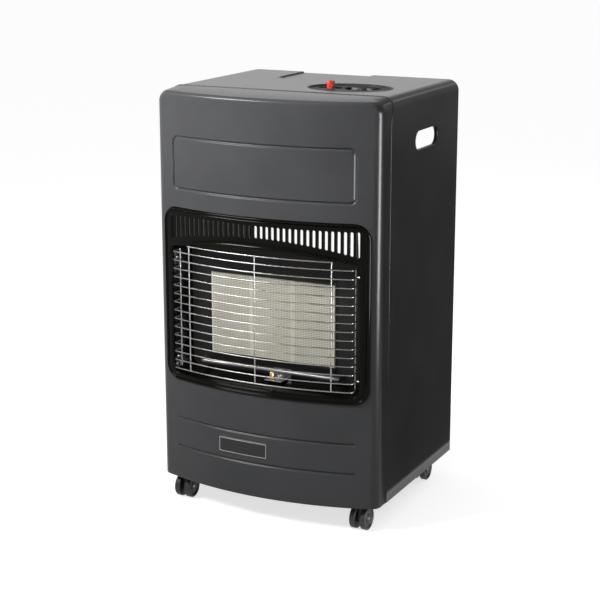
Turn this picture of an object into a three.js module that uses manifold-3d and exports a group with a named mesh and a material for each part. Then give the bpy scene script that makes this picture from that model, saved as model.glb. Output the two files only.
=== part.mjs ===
// Portable gas cabinet heater: a sheet-metal cabinet on four twin-wheel casters, with a bowed front,
// a slotted black surround, a bright wire guard, a three-plaque radiant burner and sunken top controls.
// Millimetres, +Z up, the front faces -Y. Depths are drawn from the front panel's corner line (y = 0)
// and the whole group is then moved so that the origin is the centre of the footprint, on the floor.

import * as THREE from 'three';
import { mergeVertices } from 'three/addons/utils/BufferGeometryUtils.js';
import Module from 'manifold-3d';

// ---- cabinet ----
const cabinetWidth = 418;
const halfWidth = cabinetWidth / 2;
const cabinetHeight = 735;
const cabinetDepth = 337;
const undersideHeight = 45;
const frontBow = 39;
const sheet = 1.2;
const gap = 0.3;
const pipeGap = 0.7;
const planCornerRadius = 20;
const topBendRadius = 19;
const topEdgeRadius = 11;
const sideSeamDepth = 35;
const topSeamDepth = 52;
const seamBendHeight = cabinetHeight - 45;
const bottomFlange = 16;
const rearFlange = 6;

// ---- embossing on the front panel ----
const grooveWidth = 5;
const grooveDepth = 1.8;
const upperFrame = {
  halfWidth: halfWidth - 40, low: cabinetHeight - 167, high: cabinetHeight - 79, radius: 9,
};
const lowerGrooves = {
  halfWidth: halfWidth - 39, heights: [undersideHeight + 60.5, undersideHeight + 113],
};

// ---- carry handles, one slot in each side ----
const handle = { centreDepth: 189, centreHeight: cabinetHeight - 83.5, length: 96, height: 31 };

// ---- black surround with vents, hood and funnel; the burner's heights hang from its upper edge ----
const heatLine = cabinetHeight - 199;
const surround = {
  halfWidth: halfWidth - 14, low: heatLine - 308, high: heatLine, radius: 28,
  rimProud: 3.5, rimWidth: 5, faceProud: 1.2,
};
const surroundWall = 2.5;
const panelHoleInset = 6;
const ventsHalf = halfWidth - 34.75;
const vents = {
  count: 35, pitch: ventsHalf / 17, width: 5.2,
  top: heatLine - 14, bottomMiddle: heatLine - 35, bottomDrop: 22,
};
const windowFront = {
  halfWidth: halfWidth - 32, low: heatLine - 295, topEnd: heatLine - 70, topRise: 17,
  lowRadius: 16, topRadius: 7,
};
const windowBack = {
  halfWidth: windowFront.halfWidth - 19, low: heatLine - 287, topEnd: heatLine - 70, topRise: 0,
  lowRadius: 12, topRadius: 7,
};
const funnelDepth = 23;
const funnelWall = 1.5;
const hood = {
  middle: heatLine - 43, drop: 25, power: 2.5, reach: 6, halfWidth: windowFront.halfWidth - 3,
};

// ---- wire guard ----
const wireRadius = 1.25;
const guardProud = 7.75;
const guard = {
  halfWidth: windowFront.halfWidth - 7, lowest: heatLine - 283.5, rows: 15, pitch: 14.79,
  returnDepth: 19, bend: 5,
};
const guardTopWire = { halfWidth: guard.halfWidth - 34, height: heatLine - 63.5 };
const guardUprights = [-1, 0, 1].map((side) => side * (guardTopWire.halfWidth - 2));
const guardSideUpright = guard.halfWidth - 3.5;
const guardWireSides = 4;
const guardStudRows = [1, 13];

// ---- burner ----
const plaque = {
  count: 3, width: 78.2, height: 149, thickness: 12, gap: 0.5, low: heatLine - 260.8, front: 19,
};
const burnerPanelFront = funnelDepth + gap;
const burnerPanel = {
  halfWidth: windowBack.halfWidth + 5, low: windowBack.low - 9, high: windowBack.topEnd + 2, flange: 14,
};
const headWall = 1.5;
const headBack = 60;
const plenum = { left: 0, right: 112, low: plaque.low + 8.8, high: plaque.low + 54.8, back: 97 };
const mixer = { depth: 82, height: plaque.low + 31.8, radius: 12, length: 118, mouthRadius: 18 };
const crossTube = {
  halfLength: windowBack.halfWidth - 26, height: plaque.low - 12.2, depth: 5, radius: 4.2, bend: 7,
};
const pilot = {
  x: 18, y: -6, height: plaque.low - 20.7, shelf: plaque.low - 25.4,
  burnerShift: -6, electrodeShift: 7, tailRadius: 2.4, tailBack: 34,
};
const pilotPipeHole = { x: 135, y: 118 };
const leadHole = { x: 112, y: 108 };

// ---- top controls ----
const dish = { x: 88, y: 140, halfLength: 75, halfWidth: 60, depth: 3 };
const knob = { x: 101, y: 164, radius: 24, cupRadius: 31, cupDepth: 17, top: cabinetHeight - 1.5 };
const button = {
  x: 46, y: 152, radius: 6.8, top: cabinetHeight + 9, cupHalfLength: 24, cupRadius: 11, cupDepth: 4,
};
const buttonTravel = 8;
const knobTravel = 5;
const stemRadius = 3.5;
const rearRecess = { left: -100, right: 45, front: 205, depth: 3.5, radius: 26 };
const shieldHeight = heatLine + 24;

// ---- casters ----
const caster = {
  x: halfWidth - 37, frontY: 28, rearY: cabinetDepth - 41, trail: 12, wheelRadius: 20, wheelWidth: 11,
};
const wheelSpacing = 19.5;
const wheelSides = 18;
const axleRadius = 3;
const pivotRadius = 3;
const casterPlateHeight = 3;

const heater = new THREE.Group();
const frontReach = frontBow + guardProud + wireRadius;
heater.position.y = -(cabinetDepth - frontReach) / 2;

const bowRadius = (halfWidth ** 2 + frontBow ** 2) / (2 * frontBow);
const bowCentre = bowRadius - frontBow;
const topInside = cabinetHeight - sheet;
const cutMargin = 5;
const throughFront = [-2 * frontBow - cutMargin, 2 * sideSeamDepth];

const finishes = {
  cabinetPaint: { color: 0x47484a, roughness: 0.45, metalness: 0.2 },
  blackEnamel: { color: 0x0b0b0a, roughness: 0.15, metalness: 0.1 },
  blackPlastic: { color: 0x17171a, roughness: 0.5, metalness: 0.0 },
  brightWire: { color: 0xc9cac8, roughness: 0.25, metalness: 1.0 },
  galvanised: { color: 0x8e9294, roughness: 0.45, metalness: 0.9 },
  heatSteel: { color: 0x2b2c2d, roughness: 0.5, metalness: 0.6 },
  ceramic: { color: 0xc9c2a6, roughness: 0.9, metalness: 0.0 },
  porcelain: { color: 0xe8e6df, roughness: 0.3, metalness: 0.0 },
  brass: { color: 0xb59146, roughness: 0.35, metalness: 0.9 },
  castAluminium: { color: 0xa3a6a8, roughness: 0.55, metalness: 0.8 },
  redPlastic: { color: 0xc4321f, roughness: 0.35, metalness: 0.0 },
  leadRubber: { color: 0x2a2a2a, roughness: 0.7, metalness: 0.0 },
};

const wasm = await Module();
wasm.setup();

// A closed three.js geometry as a solid that can be joined and cut.
function solid(geometry) {
  const bare = geometry.clone();
  bare.deleteAttribute('normal');
  bare.deleteAttribute('uv');
  const merged = mergeVertices(bare, 1e-4);
  const triVerts = new Uint32Array(merged.index.array);
  const vertProperties = new Float32Array(merged.attributes.position.array);
  return new wasm.Manifold(new wasm.Mesh({ numProp: 3, vertProperties, triVerts }));
}

// A joined or cut solid as a three.js geometry again.
function toGeometry(body) {
  const mesh = body.getMesh();
  const geometry = new THREE.BufferGeometry();
  geometry.setAttribute('position', new THREE.BufferAttribute(mesh.vertProperties, 3));
  geometry.setIndex(new THREE.BufferAttribute(mesh.triVerts, 1));
  geometry.computeVertexNormals();
  return geometry;
}

function joined(bodies) {
  return bodies.reduce((whole, body) => whole.add(body));
}

function addPiece(name, body, finish) {
  const geometry = body.isBufferGeometry ? body : toGeometry(body);
  const mesh = new THREE.Mesh(geometry, new THREE.MeshStandardMaterial(finishes[finish]));
  mesh.name = name;
  heater.add(mesh);
  return mesh;
}

// ---- outlines and simple solids ----

function arc(x, y, radius, fromDegrees, toDegrees, steps) {
  return Array.from({ length: steps + 1 }, (_, i) => {
    const angle = THREE.MathUtils.degToRad(fromDegrees + ((toDegrees - fromDegrees) * i) / steps);
    return new THREE.Vector2(x + radius * Math.cos(angle), y + radius * Math.sin(angle));
  });
}

function roundedBox(left, right, low, high, radius, steps = 3) {
  return [
    ...arc(right - radius, low + radius, radius, -90, 0, steps),
    ...arc(right - radius, high - radius, radius, 0, 90, steps),
    ...arc(left + radius, high - radius, radius, 90, 180, steps),
    ...arc(left + radius, low + radius, radius, 180, 270, steps),
  ];
}

// Points drawn in a plane, carried along X, Y or Z from one coordinate to another.
// The drawing's own axes are y, z for a run along X, x, z along Y, and x, y along Z.
function run(axis, points, from, to) {
  const shape = new THREE.Shape(points);
  const geometry = new THREE.ExtrudeGeometry(shape, { depth: to - from, bevelEnabled: false });
  if (axis === 'x') geometry.rotateX(Math.PI / 2).rotateZ(Math.PI / 2).translate(from, 0, 0);
  if (axis === 'y') geometry.rotateX(Math.PI / 2).translate(0, to, 0);
  if (axis === 'z') geometry.translate(0, 0, from);
  return solid(geometry);
}

function block(x0, x1, y0, y1, z0, z1) {
  const box = new THREE.BoxGeometry(x1 - x0, y1 - y0, z1 - z0);
  return solid(box.translate((x0 + x1) / 2, (y0 + y1) / 2, (z0 + z1) / 2));
}

function rod(axis, radius, at, from, to, sides = 16) {
  const cylinder = new THREE.CylinderGeometry(radius, radius, to - from, sides);
  const middle = (from + to) / 2;
  if (axis === 'x') cylinder.rotateZ(Math.PI / 2).translate(middle, at[0], at[1]);
  if (axis === 'y') cylinder.translate(at[0], middle, at[1]);
  if (axis === 'z') cylinder.rotateX(Math.PI / 2).translate(at[0], at[1], middle);
  return solid(cylinder);
}

// A turned solid: the profile is radius and height pairs, closed or starting and ending on the axis.
function turned(profile, sides = 24) {
  const points = profile.map(([radius, height]) => new THREE.Vector2(radius, height));
  return new THREE.LatheGeometry(points, sides).rotateX(Math.PI / 2);
}

// A path whose steps fall exactly on its own points.
class BentPath extends THREE.Curve {
  constructor(points) {
    super();
    this.points = points;
  }

  getPoint(t, target = new THREE.Vector3()) {
    const place = t * (this.points.length - 1);
    const index = Math.min(Math.floor(place), this.points.length - 2);
    return target.lerpVectors(this.points[index], this.points[index + 1], place - index);
  }

  getUtoTmapping(u) {
    return u;
  }
}

function wire(points, radius, sides = 5) {
  const section = new THREE.Shape(arc(0, 0, radius, 0, 360 - 360 / sides, sides - 1));
  const path = new BentPath(points);
  return new THREE.ExtrudeGeometry(section, { steps: points.length - 1, extrudePath: path });
}

// A pipe or lead: straight at both ends, and smoothly bent through the places in between.
function smoothWire(places, radius, steps, sides = 6) {
  const points = places.map((place) => new THREE.Vector3(...place));
  const curve = new THREE.CatmullRomCurve3(points.slice(1, -1));
  return wire([points[0], ...curve.getSpacedPoints(steps - 2), points.at(-1)], radius, sides);
}

// A closed skin through rings of equal point counts, with both ends capped.
function loft(rings) {
  const count = rings[0].length;
  const positions = rings.flat().flatMap((point) => [point.x, point.y, point.z]);
  const faces = [];
  for (let ring = 0; ring < rings.length - 1; ring += 1) {
    for (let i = 0; i < count; i += 1) {
      const a = ring * count + i;
      const b = ring * count + ((i + 1) % count);
      faces.push(a, b, b + count, a, b + count, a + count);
    }
  }
  const capOf = (ring, flip, offset) => {
    const flat = ring.map((point) => new THREE.Vector2(point.x, point.z));
    const spread = Math.max(...flat.map((point) => point.x)) - Math.min(...flat.map((point) => point.x));
    const drawn = spread > 1 ? flat : ring.map((point) => new THREE.Vector2(point.y, point.z));
    THREE.ShapeUtils.triangulateShape(drawn, []).forEach(([a, b, c]) => {
      faces.push(...(flip ? [a, c, b] : [a, b, c]).map((index) => index + offset));
    });
  };
  capOf(rings[0], true, 0);
  capOf(rings.at(-1), false, count * (rings.length - 1));
  const geometry = new THREE.BufferGeometry();
  geometry.setAttribute('position', new THREE.Float32BufferAttribute(positions, 3));
  geometry.setIndex(faces);
  const body = solid(geometry);
  return body.volume() > 0 ? body : solid(flipped(geometry));
}

function flipped(geometry) {
  const turnedOver = geometry.clone();
  turnedOver.setIndex(Array.from(geometry.index.array).reverse());
  return turnedOver;
}

// ---- cabinet outlines ----

function bowAt(x) {
  return bowCentre - Math.sqrt(bowRadius ** 2 - x ** 2);
}

const bowSteps = 12;
const filletX = halfWidth - planCornerRadius;
const filletY = bowCentre - Math.sqrt((bowRadius - planCornerRadius) ** 2 - filletX ** 2);
const bowEnd = THREE.MathUtils.radToDeg(Math.atan2(filletY - bowCentre, filletX));

// The cabinet in plan: straight back, straight sides, rounded corners and the bowed front.
function planOutline(inset, back) {
  const corner = planCornerRadius - inset;
  return [
    new THREE.Vector2(-(halfWidth - inset), back),
    ...arc(-filletX, filletY, corner, 180, 180 - bowEnd, 4),
    ...arc(0, bowCentre, bowRadius - inset, -180 - bowEnd, bowEnd, bowSteps).slice(1, -1),
    ...arc(filletX, filletY, corner, bowEnd, 0, 4),
    new THREE.Vector2(halfWidth - inset, back),
  ];
}

// The cabinet seen from the front: an upside-down U of bent sheet.
function frontOutline(inset, low) {
  const half = halfWidth - inset;
  const radius = topBendRadius - inset;
  const high = cabinetHeight - inset;
  return [
    new THREE.Vector2(-half, low),
    new THREE.Vector2(half, low),
    ...arc(half - radius, high - radius, radius, 0, 90, 5),
    ...arc(-half + radius, high - radius, radius, 90, 180, 5),
  ];
}

// Everything in front of the joint between the front panel and the wrap, seen from the side.
function beforeSeam(shift) {
  const sweep = new THREE.QuadraticBezierCurve(
    new THREE.Vector2(sideSeamDepth + shift, seamBendHeight),
    new THREE.Vector2(sideSeamDepth + shift, cabinetHeight - topBendRadius),
    new THREE.Vector2(topSeamDepth + shift, cabinetHeight),
  ).getPoints(6);
  const outline = [
    new THREE.Vector2(-2 * frontBow, 0),
    new THREE.Vector2(sideSeamDepth + shift, 0),
    ...sweep,
    new THREE.Vector2(topSeamDepth + shift, cabinetHeight + 10),
    new THREE.Vector2(-2 * frontBow, cabinetHeight + 10),
  ];
  return run('x', outline, -halfWidth - 10, halfWidth + 10);
}

// The space behind the bowed front surface, moved back by depth (forward where it is negative).
function behindBow(depth) {
  const line = arc(0, bowCentre + depth, bowRadius, -180 - bowEnd, bowEnd, bowSteps);
  const half = line.at(-1).x;
  const outline = [new THREE.Vector2(half, cabinetDepth), new THREE.Vector2(-half, cabinetDepth), ...line];
  return run('z', outline, 0, cabinetHeight + 10);
}

// A plate that follows the bow between two depths, inside an outline drawn from the front.
function bowedPlate(outline, front, back) {
  const prism = run('y', outline, -2 * frontBow, sideSeamDepth);
  return prism.intersect(behindBow(front)).subtract(behindBow(back));
}

function surroundOutline(inset) {
  const { halfWidth: half, low, high, radius } = surround;
  return roundedBox(-half + inset, half - inset, low + inset, high - inset, radius - inset, 5);
}

// ---- front panel ----

// The pillow of the front panel: the plan carried up, its top edge rounded over, its bottom cut.
function panelPillow(inset, low) {
  const back = sideSeamDepth + 60;
  const radius = topEdgeRadius - inset;
  const high = cabinetHeight - inset;
  const geometry = new THREE.ExtrudeGeometry(new THREE.Shape(planOutline(inset, back)), {
    depth: high - radius - (low - 2 * radius),
    bevelEnabled: true,
    bevelThickness: radius,
    bevelSize: radius,
    bevelOffset: -radius,
    bevelSegments: 2,
  });
  const pillow = solid(geometry.translate(0, 0, low - 2 * radius));
  return pillow.intersect(run('y', frontOutline(inset, low), -2 * frontBow, back - 2 * radius));
}

// The pressed lines, as solids to be cut away: one rounded frame above and two plain lines below.
function grooves(width, depth) {
  const { halfWidth: half, low, high, radius } = upperFrame;
  const grow = width / 2;
  const outer = roundedBox(-half - grow, half + grow, low - grow, high + grow, radius + grow);
  const inner = roundedBox(-half + grow, half - grow, low + grow, high - grow, radius - grow);
  const frame = bowedPlate(outer, -cutMargin, depth).subtract(run('y', inner, ...throughFront));
  const lines = lowerGrooves.heights.map((height) => {
    const reach = lowerGrooves.halfWidth + grow;
    const line = roundedBox(-reach, reach, height - grow, height + grow, grow - 0.1, 2);
    return bowedPlate(line, -cutMargin, depth);
  });
  return joined([frame, ...lines]);
}

function makeFrontPanel() {
  const inner = panelPillow(sheet, undersideHeight + sheet);
  const hollow = inner.subtract(grooves(grooveWidth + 2 * sheet, grooveDepth + sheet));
  const floorHole = run('z', planOutline(bottomFlange, cabinetDepth), 0, 100);
  const windowHole = run('y', surroundOutline(panelHoleInset), ...throughFront);
  const panel = panelPillow(0, undersideHeight)
    .subtract(hollow)
    .subtract(floorHole)
    .subtract(grooves(grooveWidth, grooveDepth))
    .subtract(windowHole)
    .intersect(beforeSeam(0));
  addPiece('front_panel', panel, 'cabinetPaint');
}

// ---- wrap: top and both sides in one bent sheet ----

function handleSlot() {
  const { centreDepth, centreHeight, length, height } = handle;
  const reach = length / 2;
  const rise = height / 2;
  const outline = roundedBox(
    centreDepth - reach, centreDepth + reach, centreHeight - rise, centreHeight + rise, rise - 0.5, 5);
  return run('x', outline, -halfWidth - 5, halfWidth + 5);
}

function rearRecessOutline(grow) {
  const { left, right, front, radius } = rearRecess;
  const corner = radius + grow;
  return [
    new THREE.Vector2(right + grow, cabinetDepth),
    new THREE.Vector2(left - grow, cabinetDepth),
    ...arc(left + radius, front + radius, corner, 180, 270, 5),
    ...arc(right - radius, front + radius, corner, 270, 360, 5),
  ];
}

function ovalOutline(x, y, halfLength, halfWide, steps = 28) {
  return Array.from({ length: steps }, (_, i) => {
    const angle = (2 * Math.PI * i) / steps;
    return new THREE.Vector2(x + halfLength * Math.cos(angle), y + halfWide * Math.sin(angle));
  });
}

function makeWrap() {
  const outer = run('y', frontOutline(0, undersideHeight), 0, cabinetDepth);
  const inner = run('y', frontOutline(sheet, 0), -5, cabinetDepth - sheet);
  const rearOpening = run('y', frontOutline(rearFlange, 0), 0, cabinetDepth + 5);
  const recessFloor = run('z', rearRecessOutline(sheet),
    topInside - rearRecess.depth, cabinetHeight - sheet / 2);
  const recess = run('z', rearRecessOutline(0), cabinetHeight - rearRecess.depth, cabinetHeight + 5);
  const dishHole = run('z', ovalOutline(dish.x, dish.y, dish.halfLength, dish.halfWidth),
    cabinetHeight - 10, cabinetHeight + 5);
  const wrap = outer
    .subtract(inner)
    .subtract(rearOpening)
    .add(recessFloor)
    .subtract(recess)
    .subtract(dishHole)
    .subtract(handleSlot())
    .subtract(beforeSeam(gap));
  addPiece('cabinet_wrap', wrap, 'cabinetPaint');
}

// ---- base pan ----

const panInset = sheet + 0.4;
const panLow = undersideHeight + sheet + gap;
const panHigh = panLow + 24;

function casterPlaces() {
  return [
    { tag: 'front_left', x: -caster.x, y: caster.frontY },
    { tag: 'front_right', x: caster.x, y: caster.frontY },
    { tag: 'rear_left', x: -caster.x, y: caster.rearY },
    { tag: 'rear_right', x: caster.x, y: caster.rearY },
  ];
}

function makeBasePan() {
  const back = cabinetDepth - panInset;
  const outer = run('z', planOutline(panInset, back), panLow, panHigh);
  const inner = run('z', planOutline(panInset + sheet, back - sheet), panLow + sheet, panHigh + 5);
  let pan = outer.subtract(inner);
  [-110, -55, 0, 55, 110].forEach((x) => {
    pan = pan.subtract(run('z', roundedBox(x - 4, x + 4, 110, 190, 3.9, 2), 0, 100));
  });
  casterPlaces().forEach(({ x, y }) => {
    pan = pan.subtract(rod('z', 5.4, [x, y], 0, 60, 12));
  });
  addPiece('base_pan', pan, 'cabinetPaint');
}

// ---- surround: rim, vent field, hood and the funnel behind the guard ----

function ventSlots() {
  const { count, pitch, width, top, bottomMiddle, bottomDrop } = vents;
  const end = ((count - 1) / 2) * pitch;
  const half = width / 2;
  return joined(Array.from({ length: count }, (_, i) => {
    const x = -end + i * pitch;
    const low = bottomMiddle - bottomDrop * (x / end) ** 2;
    const outline = [
      ...arc(x, top - half, half, 0, 180, 2),
      ...arc(x, low + half, half, 180, 360, 2),
    ];
    return run('y', outline, ...throughFront);
  }));
}

// One ring round the window, with the same count of points whatever its size.
function windowRing(size, inset, depthAt) {
  const half = size.halfWidth - inset;
  const low = size.low + inset;
  const topAt = (x) => size.topEnd - inset + size.topRise * (1 - (x / size.halfWidth) ** 2);
  const steps = 8;
  const lowLine = Array.from({ length: steps }, (_, i) => {
    return new THREE.Vector2((-1 + (2 * i) / steps) * (half - size.lowRadius), low);
  });
  const topLine = Array.from({ length: steps + 1 }, (_, i) => {
    const x = (1 - (2 * i) / steps) * (half - size.topRadius);
    return new THREE.Vector2(x, topAt(x));
  });
  const topCorner = topAt(half - size.topRadius) - size.topRadius;
  const points = [
    ...lowLine,
    ...arc(half - size.lowRadius, low + size.lowRadius, size.lowRadius, -90, 0, 4),
    ...arc(half - size.topRadius, topCorner, size.topRadius, 0, 90, 3).slice(0, -1),
    ...topLine,
    ...arc(-half + size.topRadius, topCorner, size.topRadius, 90, 180, 3).slice(1),
    ...arc(-half + size.lowRadius, low + size.lowRadius, size.lowRadius, 180, 270, 4).slice(0, -1),
  ];
  return points.map((point) => new THREE.Vector3(point.x, depthAt(point.x), point.y));
}

// The hood over the guard: a crescent that swells forward and down from the vent field.
function hoodBody() {
  const stations = 12;
  const buried = 0.6;
  const rings = Array.from({ length: stations + 1 }, (_, i) => {
    const x = (-1 + (2 * i) / stations) * hood.halfWidth;
    const share = 1 - (x / hood.halfWidth) ** 2;
    const high = hood.middle - hood.drop * Math.abs(x / hood.halfWidth) ** hood.power;
    const low = windowFront.topEnd + windowFront.topRise * (1 - (x / windowFront.halfWidth) ** 2) - 1;
    const root = bowAt(x) - buried;
    const lip = root - hood.reach * share;
    return [[root + 1, high], [root, high], [lip, low + 2.2], [lip + 1, low], [root + 1, low]]
      .map(([y, z]) => new THREE.Vector3(x, y, z));
  });
  return loft(rings);
}

function makeSurround() {
  const { rimProud, rimWidth, faceProud } = surround;
  const face = bowedPlate(surroundOutline(0), -rimProud / 2, -gap)
    .add(bowedPlate(surroundOutline(rimWidth / 3), -rimProud, -gap))
    .subtract(bowedPlate(surroundOutline(rimWidth), -2 * rimProud, -faceProud));
  const field = bowedPlate(surroundOutline(panelHoleInset + gap), -faceProud / 2, surroundWall - faceProud);
  const funnelOuter = loft([
    windowRing(windowFront, -funnelWall, () => -2 * frontBow),
    windowRing(windowFront, -funnelWall, (x) => bowAt(x)),
    windowRing(windowBack, -funnelWall, () => funnelDepth),
  ]).intersect(behindBow(-0.75 * faceProud));
  const windowCut = loft([
    windowRing(windowFront, 0, () => -2 * frontBow),
    windowRing(windowFront, 0, (x) => bowAt(x)),
    windowRing(windowBack, 0, () => funnelDepth),
    windowRing(windowBack, 0, () => funnelDepth + cutMargin),
  ]);
  const body = joined([face, field, hoodBody(), funnelOuter]).subtract(windowCut).subtract(ventSlots());
  addPiece('surround', body.add(guardStuds()), 'blackEnamel');
}

// Four studs on the funnel's sides, which the ends of two of the guard's wires rest against.
function guardStuds() {
  const y = bowAt(guard.halfWidth) - guardProud + guard.returnDepth - wireRadius;
  const from = guardSideUpright + 2 * wireRadius - 0.25 + gap;
  const to = windowFront.halfWidth - 3.4;
  return joined(guardStudRows.flatMap((row) => {
    const height = guard.lowest + row * guard.pitch;
    return [rod('x', 2.2, [y, height], from, to, 10), rod('x', 2.2, [y, height], -to, -from, 10)];
  }));
}

// ---- wire guard, welded from bowed cross wires and uprights ----

function crossWire(height) {
  const { halfWidth: half, returnDepth, bend } = guard;
  const steps = 6;
  const corner = bowAt(half) - guardProud;
  const bow = Array.from({ length: steps + 1 }, (_, i) => {
    const x = (-1 + (2 * i) / steps) * (half - bend);
    return new THREE.Vector3(x, bowAt(x) - guardProud, height);
  });
  const side = (sign) => [
    new THREE.Vector3(sign * (half - 1.2), corner + 1.4, height),
    new THREE.Vector3(sign * half, corner + bend, height),
    new THREE.Vector3(sign * (half - 3.3), corner + returnDepth, height),
  ];
  return solid(wire([...side(-1).reverse(), ...bow, ...side(1)], wireRadius, guardWireSides));
}

function upright(x, y, low, high) {
  const half = wireRadius;
  return block(x - half, x + half, y - half, y + half, low - half, high + half);
}

function makeGuard() {
  const { lowest, rows, pitch, returnDepth } = guard;
  const highest = lowest + (rows - 1) * pitch;
  const wires = Array.from({ length: rows }, (_, i) => crossWire(lowest + i * pitch));
  const topSteps = 4;
  const topWire = Array.from({ length: topSteps + 1 }, (_, i) => {
    const x = (-1 + (2 * i) / topSteps) * guardTopWire.halfWidth;
    return new THREE.Vector3(x, bowAt(x) - guardProud, guardTopWire.height);
  });
  wires.push(solid(wire(topWire, wireRadius, guardWireSides)));
  guardUprights.forEach((x) => {
    wires.push(upright(x, bowAt(x) - guardProud + 1.6 * wireRadius, lowest, guardTopWire.height));
  });
  [-1, 1].forEach((sign) => {
    const y = bowAt(guard.halfWidth) - guardProud + returnDepth - wireRadius;
    wires.push(upright(sign * guardSideUpright, y, lowest, highest));
  });
  addPiece('wire_guard', joined(wires), 'brightWire');
}

// ---- burner panel, burner head, plaques ----

const plaquesHalf = (plaque.count * plaque.width + (plaque.count - 1) * plaque.gap) / 2;
const plaqueHigh = plaque.low + plaque.height;

function makeBurnerPanel() {
  const { halfWidth: half, low, high, flange } = burnerPanel;
  const back = burnerPanelFront + sheet;
  const fit = 0.8;
  const panel = block(-half, half, burnerPanelFront, back, low, high)
    .add(block(-half, half, burnerPanelFront, back + flange, low, low + sheet))
    .add(block(-half, half, burnerPanelFront, back + flange, high - sheet, high))
    .subtract(block(-plaquesHalf - fit, plaquesHalf + fit, 0, 60, plaque.low - fit, plaqueHigh + fit))
    .subtract(pilotHoles());
  addPiece('burner_panel', panel, 'heatSteel');
}

function makeBurnerHead() {
  const fit = 0.6;
  const front = burnerPanelFront + sheet + gap;
  const ledgeFront = plaque.front + plaque.thickness + gap;
  const half = plaquesHalf + fit;
  const low = plaque.low - fit;
  const high = plaqueHigh + fit;
  const ledge = 6;
  const lip = 7;
  const head = block(-half - headWall, half + headWall, front, headBack, low - headWall, high + headWall)
    .add(block(-half - lip, half + lip, front, front + headWall, low - lip, high + lip))
    .add(block(plenum.left, plenum.right, headBack - 1, plenum.back, plenum.low, plenum.high))
    .subtract(block(-half, half, 0, ledgeFront, low, high))
    .subtract(block(-half + ledge, half - ledge, 0, headBack - headWall, low + ledge, high - ledge))
    .subtract(block(plenum.left + headWall, plenum.right - headWall, 50, plenum.back - headWall,
      plenum.low + headWall, plenum.high - headWall))
    .subtract(rod('x', mixer.radius - headWall, [mixer.depth, mixer.height], -5, 20));
  addPiece('burner_head', head, 'galvanised');
}

function makePlaques() {
  const { width, height, thickness, low, front } = plaque;
  const step = width + plaque.gap;
  ['left', 'centre', 'right'].forEach((tag, i) => {
    const x = -plaquesHalf + i * step;
    const tile = new THREE.BoxGeometry(width, thickness, height);
    tile.translate(x + width / 2, front + thickness / 2, low + height / 2);
    addPiece(`ceramic_plaque_${tag}`, tile, 'ceramic');
  });
}

// Folded strips that hold the plaques' top and bottom edges against the burner panel.
function makeRetainers() {
  const strip = 0.8;
  const front = plaque.front - gap - strip;
  const back = burnerPanelFront - gap;
  const tall = 9;
  [['top', plaqueHigh + strip, 1], ['bottom', plaque.low - strip, -1]].forEach(([tag, edge, sign]) => {
    const [low, high] = sign > 0 ? [edge - 4, edge] : [edge, edge + 4];
    const [foldLow, foldHigh] = sign > 0 ? [edge, edge + strip] : [edge - strip, edge];
    const [footLow, footHigh] = sign > 0 ? [edge, edge + tall] : [edge - tall, edge];
    const retainer = block(-plaquesHalf, plaquesHalf, front, front + strip, low, high)
      .add(block(-plaquesHalf, plaquesHalf, front, back, foldLow, foldHigh))
      .add(block(-plaquesHalf, plaquesHalf, back - strip, back, footLow, footHigh));
    addPiece(`plaque_retainer_${tag}`, retainer, 'brightWire');
  });
}

// ---- gas way: mixer tube, injector, pipes, cross tube and pilot ----

function makeMixer() {
  const { radius, length, mouthRadius, depth, height } = mixer;
  const wall = headWall;
  const profile = [
    [radius - wall, 0], [radius + 3, 0], [radius + 3, 2], [radius, 2], [radius, length - 22],
    [mouthRadius, length], [mouthRadius - wall, length], [radius - wall, length - 21], [radius - wall, 0],
  ];
  const tube = turned(profile, 20).rotateY(-Math.PI / 2).translate(plenum.left - gap, depth, height);
  addPiece('mixer_tube', tube, 'castAluminium');
  const mouth = plenum.left - gap - length;
  const arm = mouthRadius + gap;
  const plateX = mouth - 16;
  const bracket = block(plateX - 2, plateX, depth - arm - 2, depth + arm + 2, height - 9, height + 9)
    .add(block(plateX - 2, mouth + 14, depth - arm - 2, depth - arm, height - 9, height + 9))
    .add(block(plateX - 2, mouth + 14, depth + arm, depth + arm + 2, height - 9, height + 9))
    .subtract(rod('x', 5.2, [depth, height], plateX - 10, plateX + 10));
  addPiece('injector_bracket', bracket, 'galvanised');
  const tip = plateX + 9;
  const nozzle = [
    [0, 0], [1.6, 0], [4.9, 7], [4.9, 13 + 2 * gap], [8, 13 + 2 * gap], [8, 21], [5, 21], [5, 27], [0, 27],
  ];
  const injector = turned(nozzle, 12).rotateY(-Math.PI / 2).translate(tip, depth, height);
  addPiece('gas_injector', injector, 'brass');
  return { x: tip - 27 - pipeGap, y: depth, z: height };
}

const valve = {
  x: knob.x, y: knob.y, half: 15,
  high: cabinetHeight - knob.cupDepth - 4, low: cabinetHeight - 67, inlet: cabinetHeight - 51,
};

function makeGasPipe(start) {
  const pipe = smoothWire([
    [start.x, start.y, start.z],
    [start.x - 8, start.y, start.z],
    [start.x - 18, start.y + 2, start.z + 12],
    [start.x - 20, start.y + 6, start.z + 60],
    [start.x - 20, start.y + 10, start.z + 173],
    [start.x - 18, start.y + 14, shieldHeight + 40],
    [start.x, start.y + 30, shieldHeight + 80],
    [valve.x - 164, start.y + 70, valve.low - 16],
    [valve.x - 68, valve.y + 10, valve.low - 8],
    [valve.x - 46, valve.y + 9, valve.low + 4],
    [valve.x - valve.half - 13, valve.y, valve.inlet],
    [valve.x - valve.half - 6 - pipeGap, valve.y, valve.inlet],
  ], 4, 24);
  addPiece('gas_pipe', pipe, 'castAluminium');
}

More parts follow.
